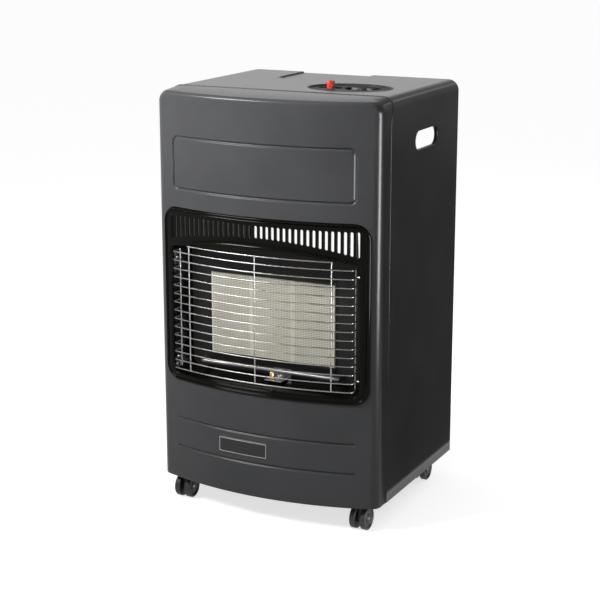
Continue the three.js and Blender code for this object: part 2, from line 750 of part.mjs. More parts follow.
function makeCrossTube() {
  const { halfLength, height, depth, radius, bend } = crossTube;
  const bendAt = (sign) => {
    return arc(sign * (halfLength - bend), depth + bend, bend, sign > 0 ? 0 : 180, sign > 0 ? -90 : 270, 4);
  };
  const foot = (sign) => new THREE.Vector2(sign * halfLength, burnerPanelFront - gap);
  const points = [foot(-1), ...bendAt(-1), ...bendAt(1).reverse(), foot(1)];
  const path = points.map((point) => new THREE.Vector3(point.x, point.y, height));
  addPiece('cross_tube', wire(path, radius, 10), 'brightWire');
}

// The pilot stands under the plaques on a bracket fixed to the burner panel; its gas and its spark
// come from behind, through the panel.
function makePilot() {
  const { x, y, height, shelf, burnerShift, electrodeShift, tailRadius, tailBack } = pilot;
  const back = burnerPanelFront - gap;
  const plate = 1.2;
  const burnerX = x + burnerShift;
  const electrodeX = x + electrodeShift;
  const bracket = block(x - 16, x + 16, back - plate, back, shelf, height + 8)
    .add(block(x - 16, x + 16, y - 8, back, shelf, shelf + plate))
    .subtract(pilotHoles());
  addPiece('pilot_bracket', bracket, 'galvanised');
  const burner = solid(turned([
    [0, shelf + plate + gap], [4, shelf + plate + gap], [4, height + 6], [2.6, height + 9], [0, height + 9],
  ], 12).translate(burnerX, y, 0));
  const burnerTail = rod('y', tailRadius, [burnerX, height], y, tailBack, 10);
  addPiece('pilot_burner', burner.add(burnerTail), 'brass');
  const electrode = rod('y', tailRadius, [electrodeX, height], y - 3, tailBack, 10)
    .add(rod('z', 1.1, [electrodeX, y - 1], height, height + 11, 8));
  addPiece('spark_electrode', electrode, 'porcelain');
  const pilotPipe = smoothWire([
    [burnerX, tailBack + pipeGap, height],
    [burnerX, tailBack + 10, height],
    [x + 24, 58, height - 18.5],
    [x + 82, 66, height - 26.5],
    [x + 132, 72, height + 5.5],
    [x + 140, 80, height + 95.5],
    [x + 132, 95, height + 195.5],
    [pilotPipeHole.x, pilotPipeHole.y, shieldHeight],
    [valve.x + valve.half + 22, valve.y - 14, valve.low - 18],
    [valve.x + valve.half + 10, valve.y - 8, valve.low + 6],
    [valve.x + valve.half + pipeGap, valve.y - 8, valve.low + 6],
  ], 2, 26, 5);
  addPiece('pilot_pipe', pilotPipe, 'castAluminium');
}

// The two ways through the bracket and the burner panel for the pilot's gas and its spark.
function pilotHoles() {
  const { x, height, burnerShift, electrodeShift, tailRadius } = pilot;
  return joined([burnerShift, electrodeShift].map((shift) => {
    return rod('y', tailRadius + 0.6, [x + shift, height], 15, 30, 10);
  }));
}

// ---- valve, knob and igniter ----

function makeValve() {
  const { half, high, low, inlet } = valve;
  const body = block(-half, half, -half, half, low, high - 6)
    .add(rod('z', 11, [0, 0], low + 2, high))
    .add(rod('x', 6, [0, inlet], -half - 6, half))
    .add(rod('y', 7, [0, inlet], -half, half + 12))
    .subtract(rod('z', stemRadius + 0.3, [0, 0], low + 8, high + 5));
  addPiece('gas_valve', body.translate([valve.x, valve.y, 0]), 'castAluminium');
  const start = half + 12 + gap;
  const nozzle = turned([
    [0, 0], [8, 0], [8, 8], [5, 8], [5.6, 11], [4.4, 14], [5.6, 17], [4.4, 20], [5.2, 24], [0, 24],
  ], 12).rotateX(-Math.PI / 2).translate(valve.x, valve.y + start, inlet);
  addPiece('hose_nozzle', nozzle, 'brass');
}

function makeControlDish() {
  const { x, y, halfLength, halfWidth: halfWide, depth } = dish;
  const floor = cabinetHeight - depth;
  const wall = sheet + 0.3;
  const cupLow = cabinetHeight - knob.cupDepth;
  const buttonLow = floor - button.cupDepth;
  const above = cabinetHeight + 20;
  const buttonCup = (grow) => {
    const radius = button.cupRadius + grow;
    const reach = button.cupHalfLength - button.cupRadius;
    return [
      ...arc(button.x + reach, button.y, radius, -90, 90, 6),
      ...arc(button.x - reach, button.y, radius, 90, 270, 6),
    ];
  };
  const oval = (grow) => ovalOutline(x, y, halfLength + grow, halfWide + grow);
  const body = run('z', oval(-gap), floor - wall, cabinetHeight - 0.2)
    .add(run('z', oval(5), floor - wall, topInside - gap))
    .add(rod('z', knob.cupRadius + wall, [knob.x, knob.y], cupLow - wall, floor, 24))
    .add(run('z', buttonCup(wall), buttonLow - wall, floor))
    .subtract(run('z', oval(-gap - wall), floor, above))
    .subtract(rod('z', knob.cupRadius, [knob.x, knob.y], cupLow, above, 24))
    .subtract(run('z', buttonCup(0), buttonLow, above))
    .subtract(rod('z', stemRadius + 5, [knob.x, knob.y], cupLow - 20, above))
    .subtract(rod('z', button.radius + 0.5, [button.x, button.y], buttonLow - 20, above));
  addPiece('control_dish', body, 'cabinetPaint');
}

// The stem and its collar press down together with the knob; only the knob turns.
function makeKnob() {
  const low = cabinetHeight - knob.cupDepth + knobTravel + 0.5;
  const collarLow = valve.high + knobTravel + 0.8;
  const stem = turned([
    [0, valve.high - 22], [stemRadius, valve.high - 22],
    [stemRadius, collarLow], [stemRadius + 3, collarLow],
    [stemRadius + 3, collarLow + 2], [stemRadius, collarLow + 2], [stemRadius, low + 7], [0, low + 7],
  ], 16).translate(knob.x, knob.y, 0);
  addPiece('valve_stem', stem, 'brass');
  const skirt = solid(turned([
    [0, low], [knob.radius, low], [knob.radius, low + 4], [knob.radius - 1.5, low + 5.5], [0, low + 5.5],
  ], 24));
  const gripHalf = 4.5;
  const grip = run('x', [
    new THREE.Vector2(-gripHalf, low + 3),
    new THREE.Vector2(gripHalf, low + 3),
    new THREE.Vector2(gripHalf - 1.5, knob.top),
    new THREE.Vector2(-gripHalf + 1.5, knob.top),
  ], -knob.radius + 1.5, knob.radius - 1.5);
  const body = skirt.add(grip)
    .add(rod('z', 8, [0, 0], low, knob.top - 1.5))
    .subtract(rod('z', stemRadius + gap, [0, 0], low - 5, low + 7.5));
  addPiece('control_knob', body.translate([knob.x, knob.y, 0]), 'blackPlastic');
}

function makeIgniter() {
  const { x, y, radius, top } = button;
  const bodyHigh = cabinetHeight - dish.depth - button.cupDepth - sheet - 0.3 - gap;
  const plungerLow = bodyHigh - 20;
  const housing = rod('z', 10.5, [x, y], bodyHigh - 55, bodyHigh, 16)
    .add(rod('z', 4, [x, y], bodyHigh - 66, bodyHigh - 50, 12))
    .subtract(rod('z', radius + 0.5, [x, y], plungerLow - buttonTravel - 2, bodyHigh + 5));
  addPiece('igniter_body', housing, 'blackPlastic');
  const cap = turned([
    [0, plungerLow], [radius, plungerLow], [radius, top - 1.6], [radius - 0.6, top - 0.5],
    [radius - 1.8, top], [0, top],
  ], 20).translate(x, y, 0);
  addPiece('igniter_button', cap, 'redPlastic');
  const electrodeX = pilot.x + pilot.electrodeShift;
  const lead = smoothWire([
    [x, y, bodyHigh - 66 - pipeGap],
    [x, y, bodyHigh - 76],
    [x + 4, y - 10, bodyHigh - 86.2],
    [x + 26, y - 32, shieldHeight + 55],
    [leadHole.x, leadHole.y, shieldHeight],
    [leadHole.x + 12, leadHole.y - 14, shieldHeight - 70],
    [leadHole.x + 22, leadHole.y - 32, shieldHeight - 160],
    [leadHole.x + 20, leadHole.y - 38, pilot.height + 45.5],
    [leadHole.x - 12, leadHole.y - 42, pilot.height + 7.5],
    [electrodeX + 26, pilot.tailBack + 20, pilot.height + 1],
    [electrodeX, pilot.tailBack + 10, pilot.height],
    [electrodeX, pilot.tailBack + pipeGap, pilot.height],
  ], 1.8, 26, 5);
  addPiece('spark_lead', lead, 'leadRubber');
}

// A shield over the burner keeps the heat off the valve; it is notched where the gas pipe rises.
function makeHeatShield() {
  const half = halfWidth - sheet - 0.4;
  const front = 16;
  const back = 300;
  const side = 16;
  const below = shieldHeight - 20;
  const above = shieldHeight + 20;
  const shield = block(-half, half, front, back, shieldHeight, shieldHeight + sheet)
    .add(block(-half, -half + sheet, front, back, shieldHeight, shieldHeight + side))
    .add(block(half - sheet, half, front, back, shieldHeight, shieldHeight + side))
    .subtract(block(-half - 5, -halfWidth + 60, 70, 130, below, above))
    .subtract(rod('z', 9, [pilotPipeHole.x, pilotPipeHole.y], below, above, 12))
    .subtract(rod('z', 9, [leadHole.x, leadHole.y], below, above, 12));
  addPiece('heat_shield', shield, 'galvanised');
}

// ---- casters ----

const axleHeight = caster.wheelRadius;
const housingTop = panLow - gap - casterPlateHeight - gap;

// A wheel drawn with flats, so that its lowest flat lies on the floor.
function wheelProfile() {
  const width = caster.wheelWidth;
  const radius = caster.wheelRadius / Math.cos(Math.PI / wheelSides);
  const bore = axleRadius + 0.4;
  return [
    [bore, 0], [radius - 1.5, 0], [radius, 1.5], [radius, width - 2.5], [radius - 3, width],
    [radius - 5, width - 1.5], [bore, width - 1.5], [bore, 0],
  ];
}

function makeWheel(name, place, sign) {
  const inner = (wheelSpacing - caster.wheelWidth) / 2;
  const wheel = turned(wheelProfile(), wheelSides).rotateY((sign * Math.PI) / 2);
  const mesh = addPiece(name, wheel, 'blackPlastic');
  mesh.position.set(place.x + sign * inner, place.y - caster.trail, axleHeight);
}

function casterHousing() {
  const web = wheelSpacing - caster.wheelWidth - 2 * 0.5;
  const outline = [
    ...arc(-caster.trail, axleHeight, 9, 180, 330, 4),
    new THREE.Vector2(10, housingTop - 16),
    new THREE.Vector2(10, housingTop - 1),
    new THREE.Vector2(-14, housingTop - 1),
  ];
  const hoodWall = 1.6;
  const hoodOuter = caster.wheelRadius + 3;
  const wheelSpace = caster.wheelRadius + 1.2;
  const hoodArc = [
    ...arc(-caster.trail, axleHeight, hoodOuter, 30, 112, 4),
    ...arc(-caster.trail, axleHeight, hoodOuter - hoodWall, 112, 30, 4),
  ];
  const across = wheelSpacing / 2 + caster.wheelWidth / 2;
  const wheelAt = [-caster.trail, axleHeight];
  return run('x', outline, -web / 2, web / 2)
    .add(run('x', hoodArc, -across, across))
    .add(rod('z', 10, [0, 0], housingTop - 12, housingTop, 12))
    .subtract(rod('z', pivotRadius + gap, [0, 0], housingTop - 9, housingTop + 5, 10))
    .subtract(rod('x', wheelSpace, wheelAt, web / 2, 30, 12))
    .subtract(rod('x', wheelSpace, wheelAt, -30, -web / 2, 12))
    .subtract(rod('x', axleRadius + gap, wheelAt, -20, 20, 10));
}

function makeCasters() {
  const housing = toGeometry(casterHousing());
  const plateLow = panLow - gap - casterPlateHeight;
  const plateHigh = panLow - gap;
  const mount = [
    [0, housingTop - 8.5], [pivotRadius, housingTop - 8.5], [pivotRadius, plateLow], [16, plateLow],
    [16, plateHigh],
    [4.9, plateHigh], [4.9, panLow + sheet + gap], [4.9, panLow + 12], [0, panLow + 12],
  ];
  const axleHalf = wheelSpacing / 2 + caster.wheelWidth / 2 - 0.6;
  casterPlaces().forEach((place) => {
    const plate = addPiece(`caster_plate_${place.tag}`, turned(mount, 8), 'galvanised');
    plate.position.set(place.x, place.y, 0);
    const fork = addPiece(`caster_housing_${place.tag}`, housing.clone(), 'blackPlastic');
    fork.position.set(place.x, place.y, 0);
    const axle = new THREE.CylinderGeometry(axleRadius, axleRadius, 2 * axleHalf, 12).rotateZ(Math.PI / 2);
    const pin = addPiece(`caster_axle_${place.tag}`, axle, 'brightWire');
    pin.position.set(place.x, place.y - caster.trail, axleHeight);
    makeWheel(`caster_wheel_${place.tag}_a`, place, -1);
    makeWheel(`caster_wheel_${place.tag}_b`, place, 1);
  });
}

makeWrap();
makeFrontPanel();
makeBasePan();
makeSurround();
makeGuard();
makeBurnerPanel();
makeBurnerHead();
makePlaques();
makeRetainers();
makeGasPipe(makeMixer());
makeCrossTube();
makePilot();
makeValve();
makeControlDish();
makeKnob();
makeIgniter();
makeHeatShield();
makeCasters();

export default heater;
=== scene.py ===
import math

import bmesh
import bpy
import mathutils
import numpy as np
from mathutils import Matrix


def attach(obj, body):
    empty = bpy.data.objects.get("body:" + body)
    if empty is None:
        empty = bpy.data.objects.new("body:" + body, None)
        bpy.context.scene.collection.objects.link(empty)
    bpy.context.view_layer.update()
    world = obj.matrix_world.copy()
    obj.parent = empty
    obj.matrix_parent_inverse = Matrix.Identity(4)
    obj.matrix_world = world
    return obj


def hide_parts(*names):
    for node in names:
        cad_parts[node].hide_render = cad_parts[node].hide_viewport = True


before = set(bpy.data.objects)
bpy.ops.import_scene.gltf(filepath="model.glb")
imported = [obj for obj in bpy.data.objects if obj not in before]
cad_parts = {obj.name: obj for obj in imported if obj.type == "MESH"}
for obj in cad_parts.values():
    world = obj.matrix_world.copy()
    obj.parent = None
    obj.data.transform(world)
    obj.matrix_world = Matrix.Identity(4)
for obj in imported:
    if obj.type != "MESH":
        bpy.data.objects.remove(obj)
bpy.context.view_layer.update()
print("frame loaded")

# Shapes are worked out in millimetres from the front panel's corner line, x to the right, y to the back, z up
rowShift = -144.5
cabinet = dict(width=418.0, height=735.0, depth=337.0, low=45.0, bow=39.0, corner=20.0)
halfCabinet = cabinet["width"] / 2
bowRadius = (halfCabinet ** 2 + cabinet["bow"] ** 2) / (2 * cabinet["bow"])
bowCentre = bowRadius - cabinet["bow"]


def bowAt(x):
    # depth of the bowed front: an arc through both corners and the middle of the front
    return bowCentre - np.sqrt(bowRadius ** 2 - np.asarray(x, float) ** 2)


def bowNormal(x):
    # the outward direction of the bow, away from the arc's centre
    x = np.asarray(x, float)
    return np.stack([x, bowAt(x) - bowCentre], -1) / bowRadius


def smoothStep(t):
    # 0 to 1 with level ends: 3 t squared - 2 t cubed
    t = np.clip(t, 0.0, 1.0)
    return t * t * (3 - 2 * t)


# Meshes from numpy grids
def gridFaces(rows, columns, closeRows=False, closeColumns=False):
    # quads over points stored row by row; a closed direction joins its last line to its first
    r, c = np.meshgrid(np.arange(rows if closeRows else rows - 1),
                       np.arange(columns if closeColumns else columns - 1), indexing="ij")
    r2, c2 = (r + 1) % rows, (c + 1) % columns
    return np.stack([r * columns + c, r * columns + c2, r2 * columns + c2, r2 * columns + c], -1).reshape(-1, 4)


def grid(points, closeRows=False, closeColumns=False, keep=None):
    # a rows x columns x 3 array as (points, faces); keep drops the quads where it is False
    rows, columns = points.shape[:2]
    faces = gridFaces(rows, columns, closeRows, closeColumns)
    return points.reshape(-1, 3), faces if keep is None else faces[keep.reshape(-1)]


def sweep(path, radius, sides=10, reference=(0.12, 0.31, 0.94), capped=True):
    # a round tube: every point of the path gets a circle in the plane across its tangent
    path = np.asarray(path, float)
    tangent = np.gradient(path, axis=0)
    tangent /= np.linalg.norm(tangent, axis=1, keepdims=True)
    size = np.full(len(path), float(radius))
    if capped:  # both ends close in a quarter round
        ease = np.sin(np.linspace(0.0, math.pi / 2, 4))
        back = radius * (1 - np.cos(np.linspace(math.pi / 2, 0, 4)))
        first = path[0] + tangent[0] * back[:, None]
        last = path[-1] - tangent[-1] * back[::-1, None]
        path = np.vstack([first, path[1:-1], last])
        tangent = np.vstack([np.repeat(tangent[:1], 4, 0), tangent[1:-1], np.repeat(tangent[-1:], 4, 0)])
        size = np.concatenate([radius * ease, size[1:-1], radius * ease[::-1]])
    side = np.cross(tangent, np.asarray(reference, float))
    side /= np.linalg.norm(side, axis=1, keepdims=True)
    other = np.cross(tangent, side)
    turn = np.linspace(0, 2 * math.pi, sides, endpoint=False)
    ring = np.cos(turn)[None, :, None] * side[:, None] + np.sin(turn)[None, :, None] * other[:, None]
    points = path[:, None] + size[:, None, None] * ring
    return grid(points[:, ::-1], closeColumns=True)


def turned(profile, centre, axis="z", sides=48):
    # a lathe: radius and height pairs spun about an axis through centre
    radius, height = np.asarray(profile, float).T
    turn = np.linspace(0, 2 * math.pi, sides, endpoint=False)
    across = radius[:, None] * np.cos(turn), radius[:, None] * np.sin(turn)
    along = np.repeat(height[:, None], sides, 1)
    order = {"z": (across[0], across[1], along), "x": (along, across[0], across[1]),
             "y": (across[1], along, across[0])}[axis]
    points = np.stack(order, -1) + np.asarray(centre, float)
    return grid(points, closeColumns=True)


def rounded(profile, radius=0.8, steps=4):
    # an open polyline whose inner corners are replaced by small arcs: a quadratic curve from leg to leg
    profile = np.asarray(profile, float)
    before, corner, after = profile[:-2], profile[1:-1], profile[2:]
    legIn, legOut = before - corner, after - corner
    lengthIn = np.linalg.norm(legIn, axis=1, keepdims=True)
    lengthOut = np.linalg.norm(legOut, axis=1, keepdims=True)
    cut = np.minimum(radius, 0.45 * np.minimum(lengthIn, lengthOut))
    start, end = corner + legIn / lengthIn * cut, corner + legOut / lengthOut * cut
    t = np.linspace(0, 1, steps + 1)[None, :, None]
    arcs = start[:, None] * (1 - t) ** 2 + 2 * corner[:, None] * t * (1 - t) + end[:, None] * t ** 2
    return np.vstack([profile[:1], arcs.reshape(-1, profile.shape[1]), profile[-1:]])


def spline(places, count):
    # a smooth path through places: Catmull-Rom cubics between the inner ones, with a straight stub at each end
    places = np.asarray(places, float)
    inner = places[1:-1]
    padded = np.vstack([2 * inner[0] - inner[1], inner, 2 * inner[-1] - inner[-2]])
    u = np.linspace(0, len(inner) - 1.0001, count)
    i = u.astype(int)
    t = (u - i)[:, None]
    p0, p1, p2, p3 = (padded[i + k] for k in range(4))
    curve = 0.5 * (2 * p1 + (p2 - p0) * t + (2 * p0 - 5 * p1 + 4 * p2 - p3) * t ** 2
                   + (3 * p1 - p0 - 3 * p2 + p3) * t ** 3)
    stub = np.linspace(0, 1, 4)[:, None]
    first = places[0] + (curve[0] - places[0]) * stub
    last = curve[-1] + (places[-1] - curve[-1]) * stub
    return np.vstack([first[:-1], curve, last[1:]])


def joinParts(parts):
    # several (points, faces) as one; each part's face numbers move up by the points before it
    starts = np.cumsum([0] + [len(points) for points, _ in parts[:-1]])
    points = np.vstack([points for points, _ in parts])
    faces = np.vstack([faces + start for (_, faces), start in zip(parts, starts)])
    return points, faces


def newPiece(name, parts, finish, body="cabinet", nodes=(), sharp=38.0, closed=True, modifiers=()):
    # parts in millimetres become one object in metres, with seams merged; it joins a body and its nodes
    points, faces = joinParts(parts if isinstance(parts, list) else [parts])
    mesh = bpy.data.meshes.new(name)
    mesh.from_pydata((points + [0, rowShift, 0]) * 0.001, [], faces)
    work = bmesh.new()
    work.from_mesh(mesh)
    bmesh.ops.remove_doubles(work, verts=work.verts, dist=2e-6)
    bmesh.ops.dissolve_degenerate(work, edges=work.edges, dist=1e-7)
    if closed:
        bmesh.ops.recalc_face_normals(work, faces=work.faces)
    work.to_mesh(mesh)
    work.free()
    mesh.materials.append(finish)
    mesh.shade_smooth()
    mesh.set_sharp_from_angle(angle=math.radians(sharp))
    piece = bpy.data.objects.new(name, mesh)
    bpy.context.scene.collection.objects.link(piece)
    for kind, settings in modifiers:
        modifier = piece.modifiers.new(kind.title(), kind)
        for key, value in settings.items():
            setattr(modifier, key, value)
    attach(piece, body)
    if nodes:
        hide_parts(*nodes)
    return piece


def thicken(wall):
    # a sheet gets its wall, in millimetres, on the side away from its faces
    return "SOLIDIFY", dict(thickness=wall * 0.001, offset=-1.0)


def roundEdges(width, segments=2):
    # edges sharper than 40 degrees are rounded to this width in millimetres
    return "BEVEL", dict(width=width * 0.001, segments=segments, limit_method="ANGLE",
                         angle_limit=math.radians(40))


# Finishes
class Wire:
    # a shader socket that reads as a number in plain expressions: each operator adds its Math node
    def __init__(self, nodes, socket):
        self.nodes, self.socket = nodes, socket

    def maths(self, operation, *values):
        return self.nodes.node("ShaderNodeMath", dict(operation=operation), values)

    def __add__(self, other):
        return self.maths("ADD", self, other)

    def __sub__(self, other):
        return self.maths("SUBTRACT", self, other)

    def __mul__(self, other):
        return self.maths("MULTIPLY", self, other)

    def __rsub__(self, other):
        return self.maths("SUBTRACT", other, self)

    __radd__, __rmul__ = __add__, __mul__

    def ramp(self, low, high):
        # 0 below low, 1 above high, smooth between
        settings = dict(interpolation_type="SMOOTHSTEP")
        inputs = {"Value": self, "From Min": low, "From Max": high}
        return self.nodes.node("ShaderNodeMapRange", settings, inputs)

    def power(self, exponent):
        return self.maths("POWER", self, exponent)

    def size(self):  # without its sign
        return self.maths("ABSOLUTE", self)

    def least(self, other):
        return self.maths("MINIMUM", self, other)

    def most(self, other):
        return self.maths("MAXIMUM", self, other)


class Nodes:
    # a node tree, with one way to add any node and a short one to blend colours
    def __init__(self, tree):
        self.tree = tree

    def node(self, kind, settings, inputs, output=0):
        # any node: its settings first, then values or links for its sockets, then the output to go on with
        made = self.tree.nodes.new(kind)
        for key, value in settings.items():
            setattr(made, key, value)
        pairs = inputs.items() if isinstance(inputs, dict) else enumerate(inputs)
        for key, value in pairs:
            if isinstance(value, Wire):
                self.tree.links.new(value.socket, made.inputs[key])
            else:
                made.inputs[key].default_value = value
        return Wire(self, made.outputs[output])

    def mix(self, factor, first, second):
        # the colour first where the factor is 0 and second where it is 1
        made = self.tree.nodes.new("ShaderNodeMix")
        made.data_type = "RGBA"
        sockets = [s for s in made.inputs if s.enabled]
        for socket, value in zip(sockets, [factor, first, second]):
            if isinstance(value, Wire):
                self.tree.links.new(value.socket, socket)
            else:
                socket.default_value = (*value, 1.0)
        return Wire(self, next(s for s in made.outputs if s.enabled))


class Finish(Nodes):
    # a material: constants go straight onto the shader's sockets, and feed links what varies
    def __init__(self, name, **constants):
        self.material = bpy.data.materials.new(name)
        self.material.use_nodes = True
        super().__init__(self.material.node_tree)
        self.shader = next(n for n in self.tree.nodes if n.type == "BSDF_PRINCIPLED")
        for key, value in constants.items():
            self.shader.inputs[key.replace("_", " ")].default_value = value
        self.place = self.node("ShaderNodeTexCoord", {}, {}, "Object")

    def feed(self, socket, value):
        self.tree.links.new(value.socket, self.shader.inputs[socket])

    def noise(self, scale, detail, stretch=None):
        place = self.place
        if stretch:
            place = self.node("ShaderNodeMapping", {}, {"Vector": self.place, "Scale": stretch})
        values = {"Vector": place, "Scale": scale, "Detail": detail, "Roughness": 0.55}
        return self.node("ShaderNodeTexNoise", {}, values)

    def cells(self, scale, output):
        return self.node("ShaderNodeTexVoronoi", {}, {"Vector": self.place, "Scale": scale}, output)

    def bump(self, height, distance, strength):
        # the distance is in millimetres
        inputs = {"Height": height, "Distance": distance * 0.001, "Strength": strength}
        return self.node("ShaderNodeBump", {}, inputs)

    def axes(self):
        # the place along x, y and z in millimetres
        parts = self.tree.nodes.new("ShaderNodeSeparateXYZ")
        self.tree.links.new(self.place.socket, parts.inputs[0])
        return [Wire(self, out) * 1000.0 for out in parts.outputs]


def powderCoat():
    # satin anthracite powder coat: fine orange peel, faint cloudiness, a touch of dust in the gloss
    f = Finish("powderCoat", Specular_IOR_Level=0.15)
    cloud = f.noise(9.0, 4.0)
    grain = f.noise(900.0, 2.0)
    peel = f.noise(420.0, 3.0)
    f.feed("Base Color", f.mix(cloud.ramp(0.3, 0.7), (0.0500, 0.0508, 0.0532), (0.0580, 0.0588, 0.0615)))
    f.feed("Roughness", 0.22 + 0.03 * cloud + 0.03 * grain)
    f.feed("Normal", f.bump(peel + 0.4 * grain, 0.04, 0.35))
    return f.material


def dishCoat():
    # the same coat over the control dish, duller, and black down in the knob's cup and the button's dimple
    f = Finish("dishCoat", Specular_IOR_Level=0.10)
    height = f.axes()[2]
    grain = f.noise(900.0, 2.0)
    deep = 1 - height.ramp(730.2, 731.4)
    floor = f.mix(grain, (0.034, 0.034, 0.036), (0.042, 0.042, 0.045))
    f.feed("Base Color", f.mix(deep, floor, (0.006, 0.006, 0.007)))
    f.feed("Roughness", 0.42 + 0.08 * grain)
    f.feed("Normal", f.bump(grain, 0.04, 0.35))
    return f.material


def blackEnamel():
    # gloss black enamel over pressed steel: long soft waves and very small pits
    f = Finish("blackEnamel", Specular_IOR_Level=0.06)
    wave = f.noise(26.0, 2.0)
    pits = f.noise(700.0, 2.0)
    f.feed("Base Color", f.mix(wave, (0.0028, 0.0027, 0.0022), (0.0052, 0.0048, 0.0036)))
    f.feed("Roughness", 0.10 + 0.06 * pits.ramp(0.45, 0.75))
    f.feed("Normal", f.bump(wave + 0.05 * pits, 0.5, 0.35))
    return f.material


def galvanised():
    # zinc-plated sheet: pale crystals of slightly different brightness, and light scuffs
    f = Finish("galvanised", Metallic=0.85)
    spangle = f.node("ShaderNodeSeparateColor", {}, [f.cells(130.0, "Color")])
    scuff = f.noise(60.0, 5.0, stretch=(1, 4, 1))
    f.feed("Base Color", f.mix(spangle, (0.30, 0.31, 0.32), (0.42, 0.43, 0.44)))
    f.feed("Roughness", 0.34 + 0.16 * scuff + 0.06 * spangle)
    f.feed("Normal", f.bump(scuff, 0.04, 0.3))
    return f.material


plaque = dict(width=78.2, gap=0.5, low=275.2, high=424.2, pitch=3.0, hole=0.95, margin=3.4)


def plaqueCeramic():
    # matt ceramic pierced by a close square grid of round holes, painted darker as the shade inside them and
    # pressed in by the bump, with a plain margin round each tile
    f = Finish("plaqueCeramic", Specular_IOR_Level=0.2)
    x, _, z = f.axes()
    step = plaque["width"] + plaque["gap"]
    inTile = f.node("ShaderNodeMath", dict(operation="PINGPONG"), [x + step / 2, step / 2])
    offAcross = f.node("ShaderNodeMath", dict(operation="PINGPONG"), [x, plaque["pitch"] / 2])
    offUp = f.node("ShaderNodeMath", dict(operation="PINGPONG"), [z - plaque["low"], plaque["pitch"] / 2])
    away = (offAcross * offAcross + offUp * offUp).power(0.5)
    hole = 1 - away.ramp(plaque["hole"] - 0.25, plaque["hole"] + 0.2)
    margin = inTile.ramp(plaque["margin"] - 0.5, plaque["margin"] + 0.1)
    upEdge = (z - plaque["low"]).least(plaque["high"] - z).ramp(plaque["margin"] - 1, plaque["margin"])
    holes = hole * margin * upEdge
    grain = f.noise(500.0, 3.0)
    cloud = f.noise(25.0, 3.0)
    body = f.mix(cloud.ramp(0.3, 0.75), (0.62, 0.60, 0.51), (0.70, 0.68, 0.585))
    # painted shade: the holes get a darker colour that stands for the shade down inside them
    f.feed("Base Color", f.mix(holes, body, (0.22, 0.20, 0.14)))
    f.feed("Roughness", 0.82 + 0.12 * grain)
    f.feed("Normal", f.bump(0.08 * grain - holes, 0.7, 0.8))
    return f.material


badge = dict(x=-29.0, z=131.0, half=48.0, tall=14.0, proud=0.9, rise=1.0, rim=(1.6, 2.4), soft=0.3)


def bareBadge():
    # a bare black plate with a thin bright rim line just inside its edge, finely brushed along its length
    f = Finish("bareBadge", Specular_IOR_Level=0.3)
    x, _, z = f.axes()
    inside = (badge["half"] - (x - badge["x"]).size()).least(badge["tall"] - (z - badge["z"]).size())
    (near, far), soft = badge["rim"], badge["soft"]
    line = inside.ramp(near - soft, near) * (1 - inside.ramp(far, far + soft))
    brushed = f.noise(900.0, 3.0, (0.05, 1, 1))
    ground = f.mix(brushed, (0.012, 0.012, 0.013), (0.020, 0.020, 0.021))
    f.feed("Base Color", f.mix(line, ground, (0.50, 0.50, 0.50)))
    f.feed("Roughness", 0.26 + 0.12 * brushed)
    f.feed("Normal", f.bump(brushed, 0.02, 0.3))
    return f.material


# Finishes of one kind: a broad noise, the tone, blends the two colours, and a fine one, the skin, is the grain.
# rough is a base, then what the skin and the tone add to it; bump is a height in millimetres and a strength.
# Where no skin is given, the tone is the grain as well.
plainFinishes = dict(
    brightWire=dict(metal=1.0, tone=(14.0, 2.0), ramp=(0.45, 0.8), skin=(160.0, 3.0, (0.15, 1, 1)),
                    colours=((0.28, 0.28, 0.28), (0.21, 0.20, 0.18)), rough=(0.20, 0.16, 0), bump=(0.03, 0.3)),
    # near-black steel for the burner panel and the plaques' retainers, a little browner in places
    nearBlackSteel=dict(gloss=0.2, tone=(20.0, 4.0), ramp=(0.4, 0.75), skin=(500.0, 3.0),
                     colours=((0.0070, 0.0070, 0.0072), (0.0150, 0.0130, 0.0105)), rough=(0.40, 0.2, 0),
                     bump=(0.05, 0.4)),
    tubeSteel=dict(metal=0.9, tone=(20.0, 3.0), ramp=(0.35, 0.75), skin=(120.0, 3.0, (0.12, 1, 1)),
                   colours=((0.20, 0.20, 0.21), (0.12, 0.105, 0.09)), rough=(0.22, 0.16, 0), bump=(0.04, 0.3)),
    mouldedBlack=dict(gloss=0.45, tone=(45.0, 4.0), ramp=(0.4, 0.8), skin=(1400.0, 2.0),
                      colours=((0.012, 0.012, 0.013), (0.020, 0.020, 0.021)), rough=(0.42, 0.12, 0.06),
                      bump=(0.04, 0.4)),
    mouldedRed=dict(gloss=0.5, tone=(120.0, 3.0), colours=((0.50, 0.032, 0.014), (0.62, 0.050, 0.022)),
                    rough=(0.28, 0, 0.12), bump=(0.03, 0.3)),
    machinedBrass=dict(metal=1.0, tone=(60.0, 4.0), ramp=(0.4, 0.75), skin=(500.0, 3.0, (1, 1, 0.2)),
                       colours=((0.66, 0.48, 0.20), (0.42, 0.29, 0.12)), rough=(0.24, 0, 0.2), bump=(0.03, 0.3)),
    castAluminium=dict(metal=0.9, tone=(30.0, 3.0), skin=(260.0, 5.0),
                       colours=((0.42, 0.43, 0.44), (0.55, 0.56, 0.57)), rough=(0.40, 0.22, 0), bump=(0.12, 0.5)),
    glazedPorcelain=dict(gloss=0.5, tone=(90.0, 3.0), colours=((0.74, 0.72, 0.66), (0.82, 0.80, 0.75)),
                         rough=(0.16, 0, 0.1), bump=(0.05, 0.3)),
    leadRubber=dict(gloss=0.4, tone=(300.0, 3.0), colours=((0.016, 0.016, 0.016), (0.030, 0.029, 0.028)),
                    rough=(0.5, 0, 0.2), bump=(0.05, 0.4)))


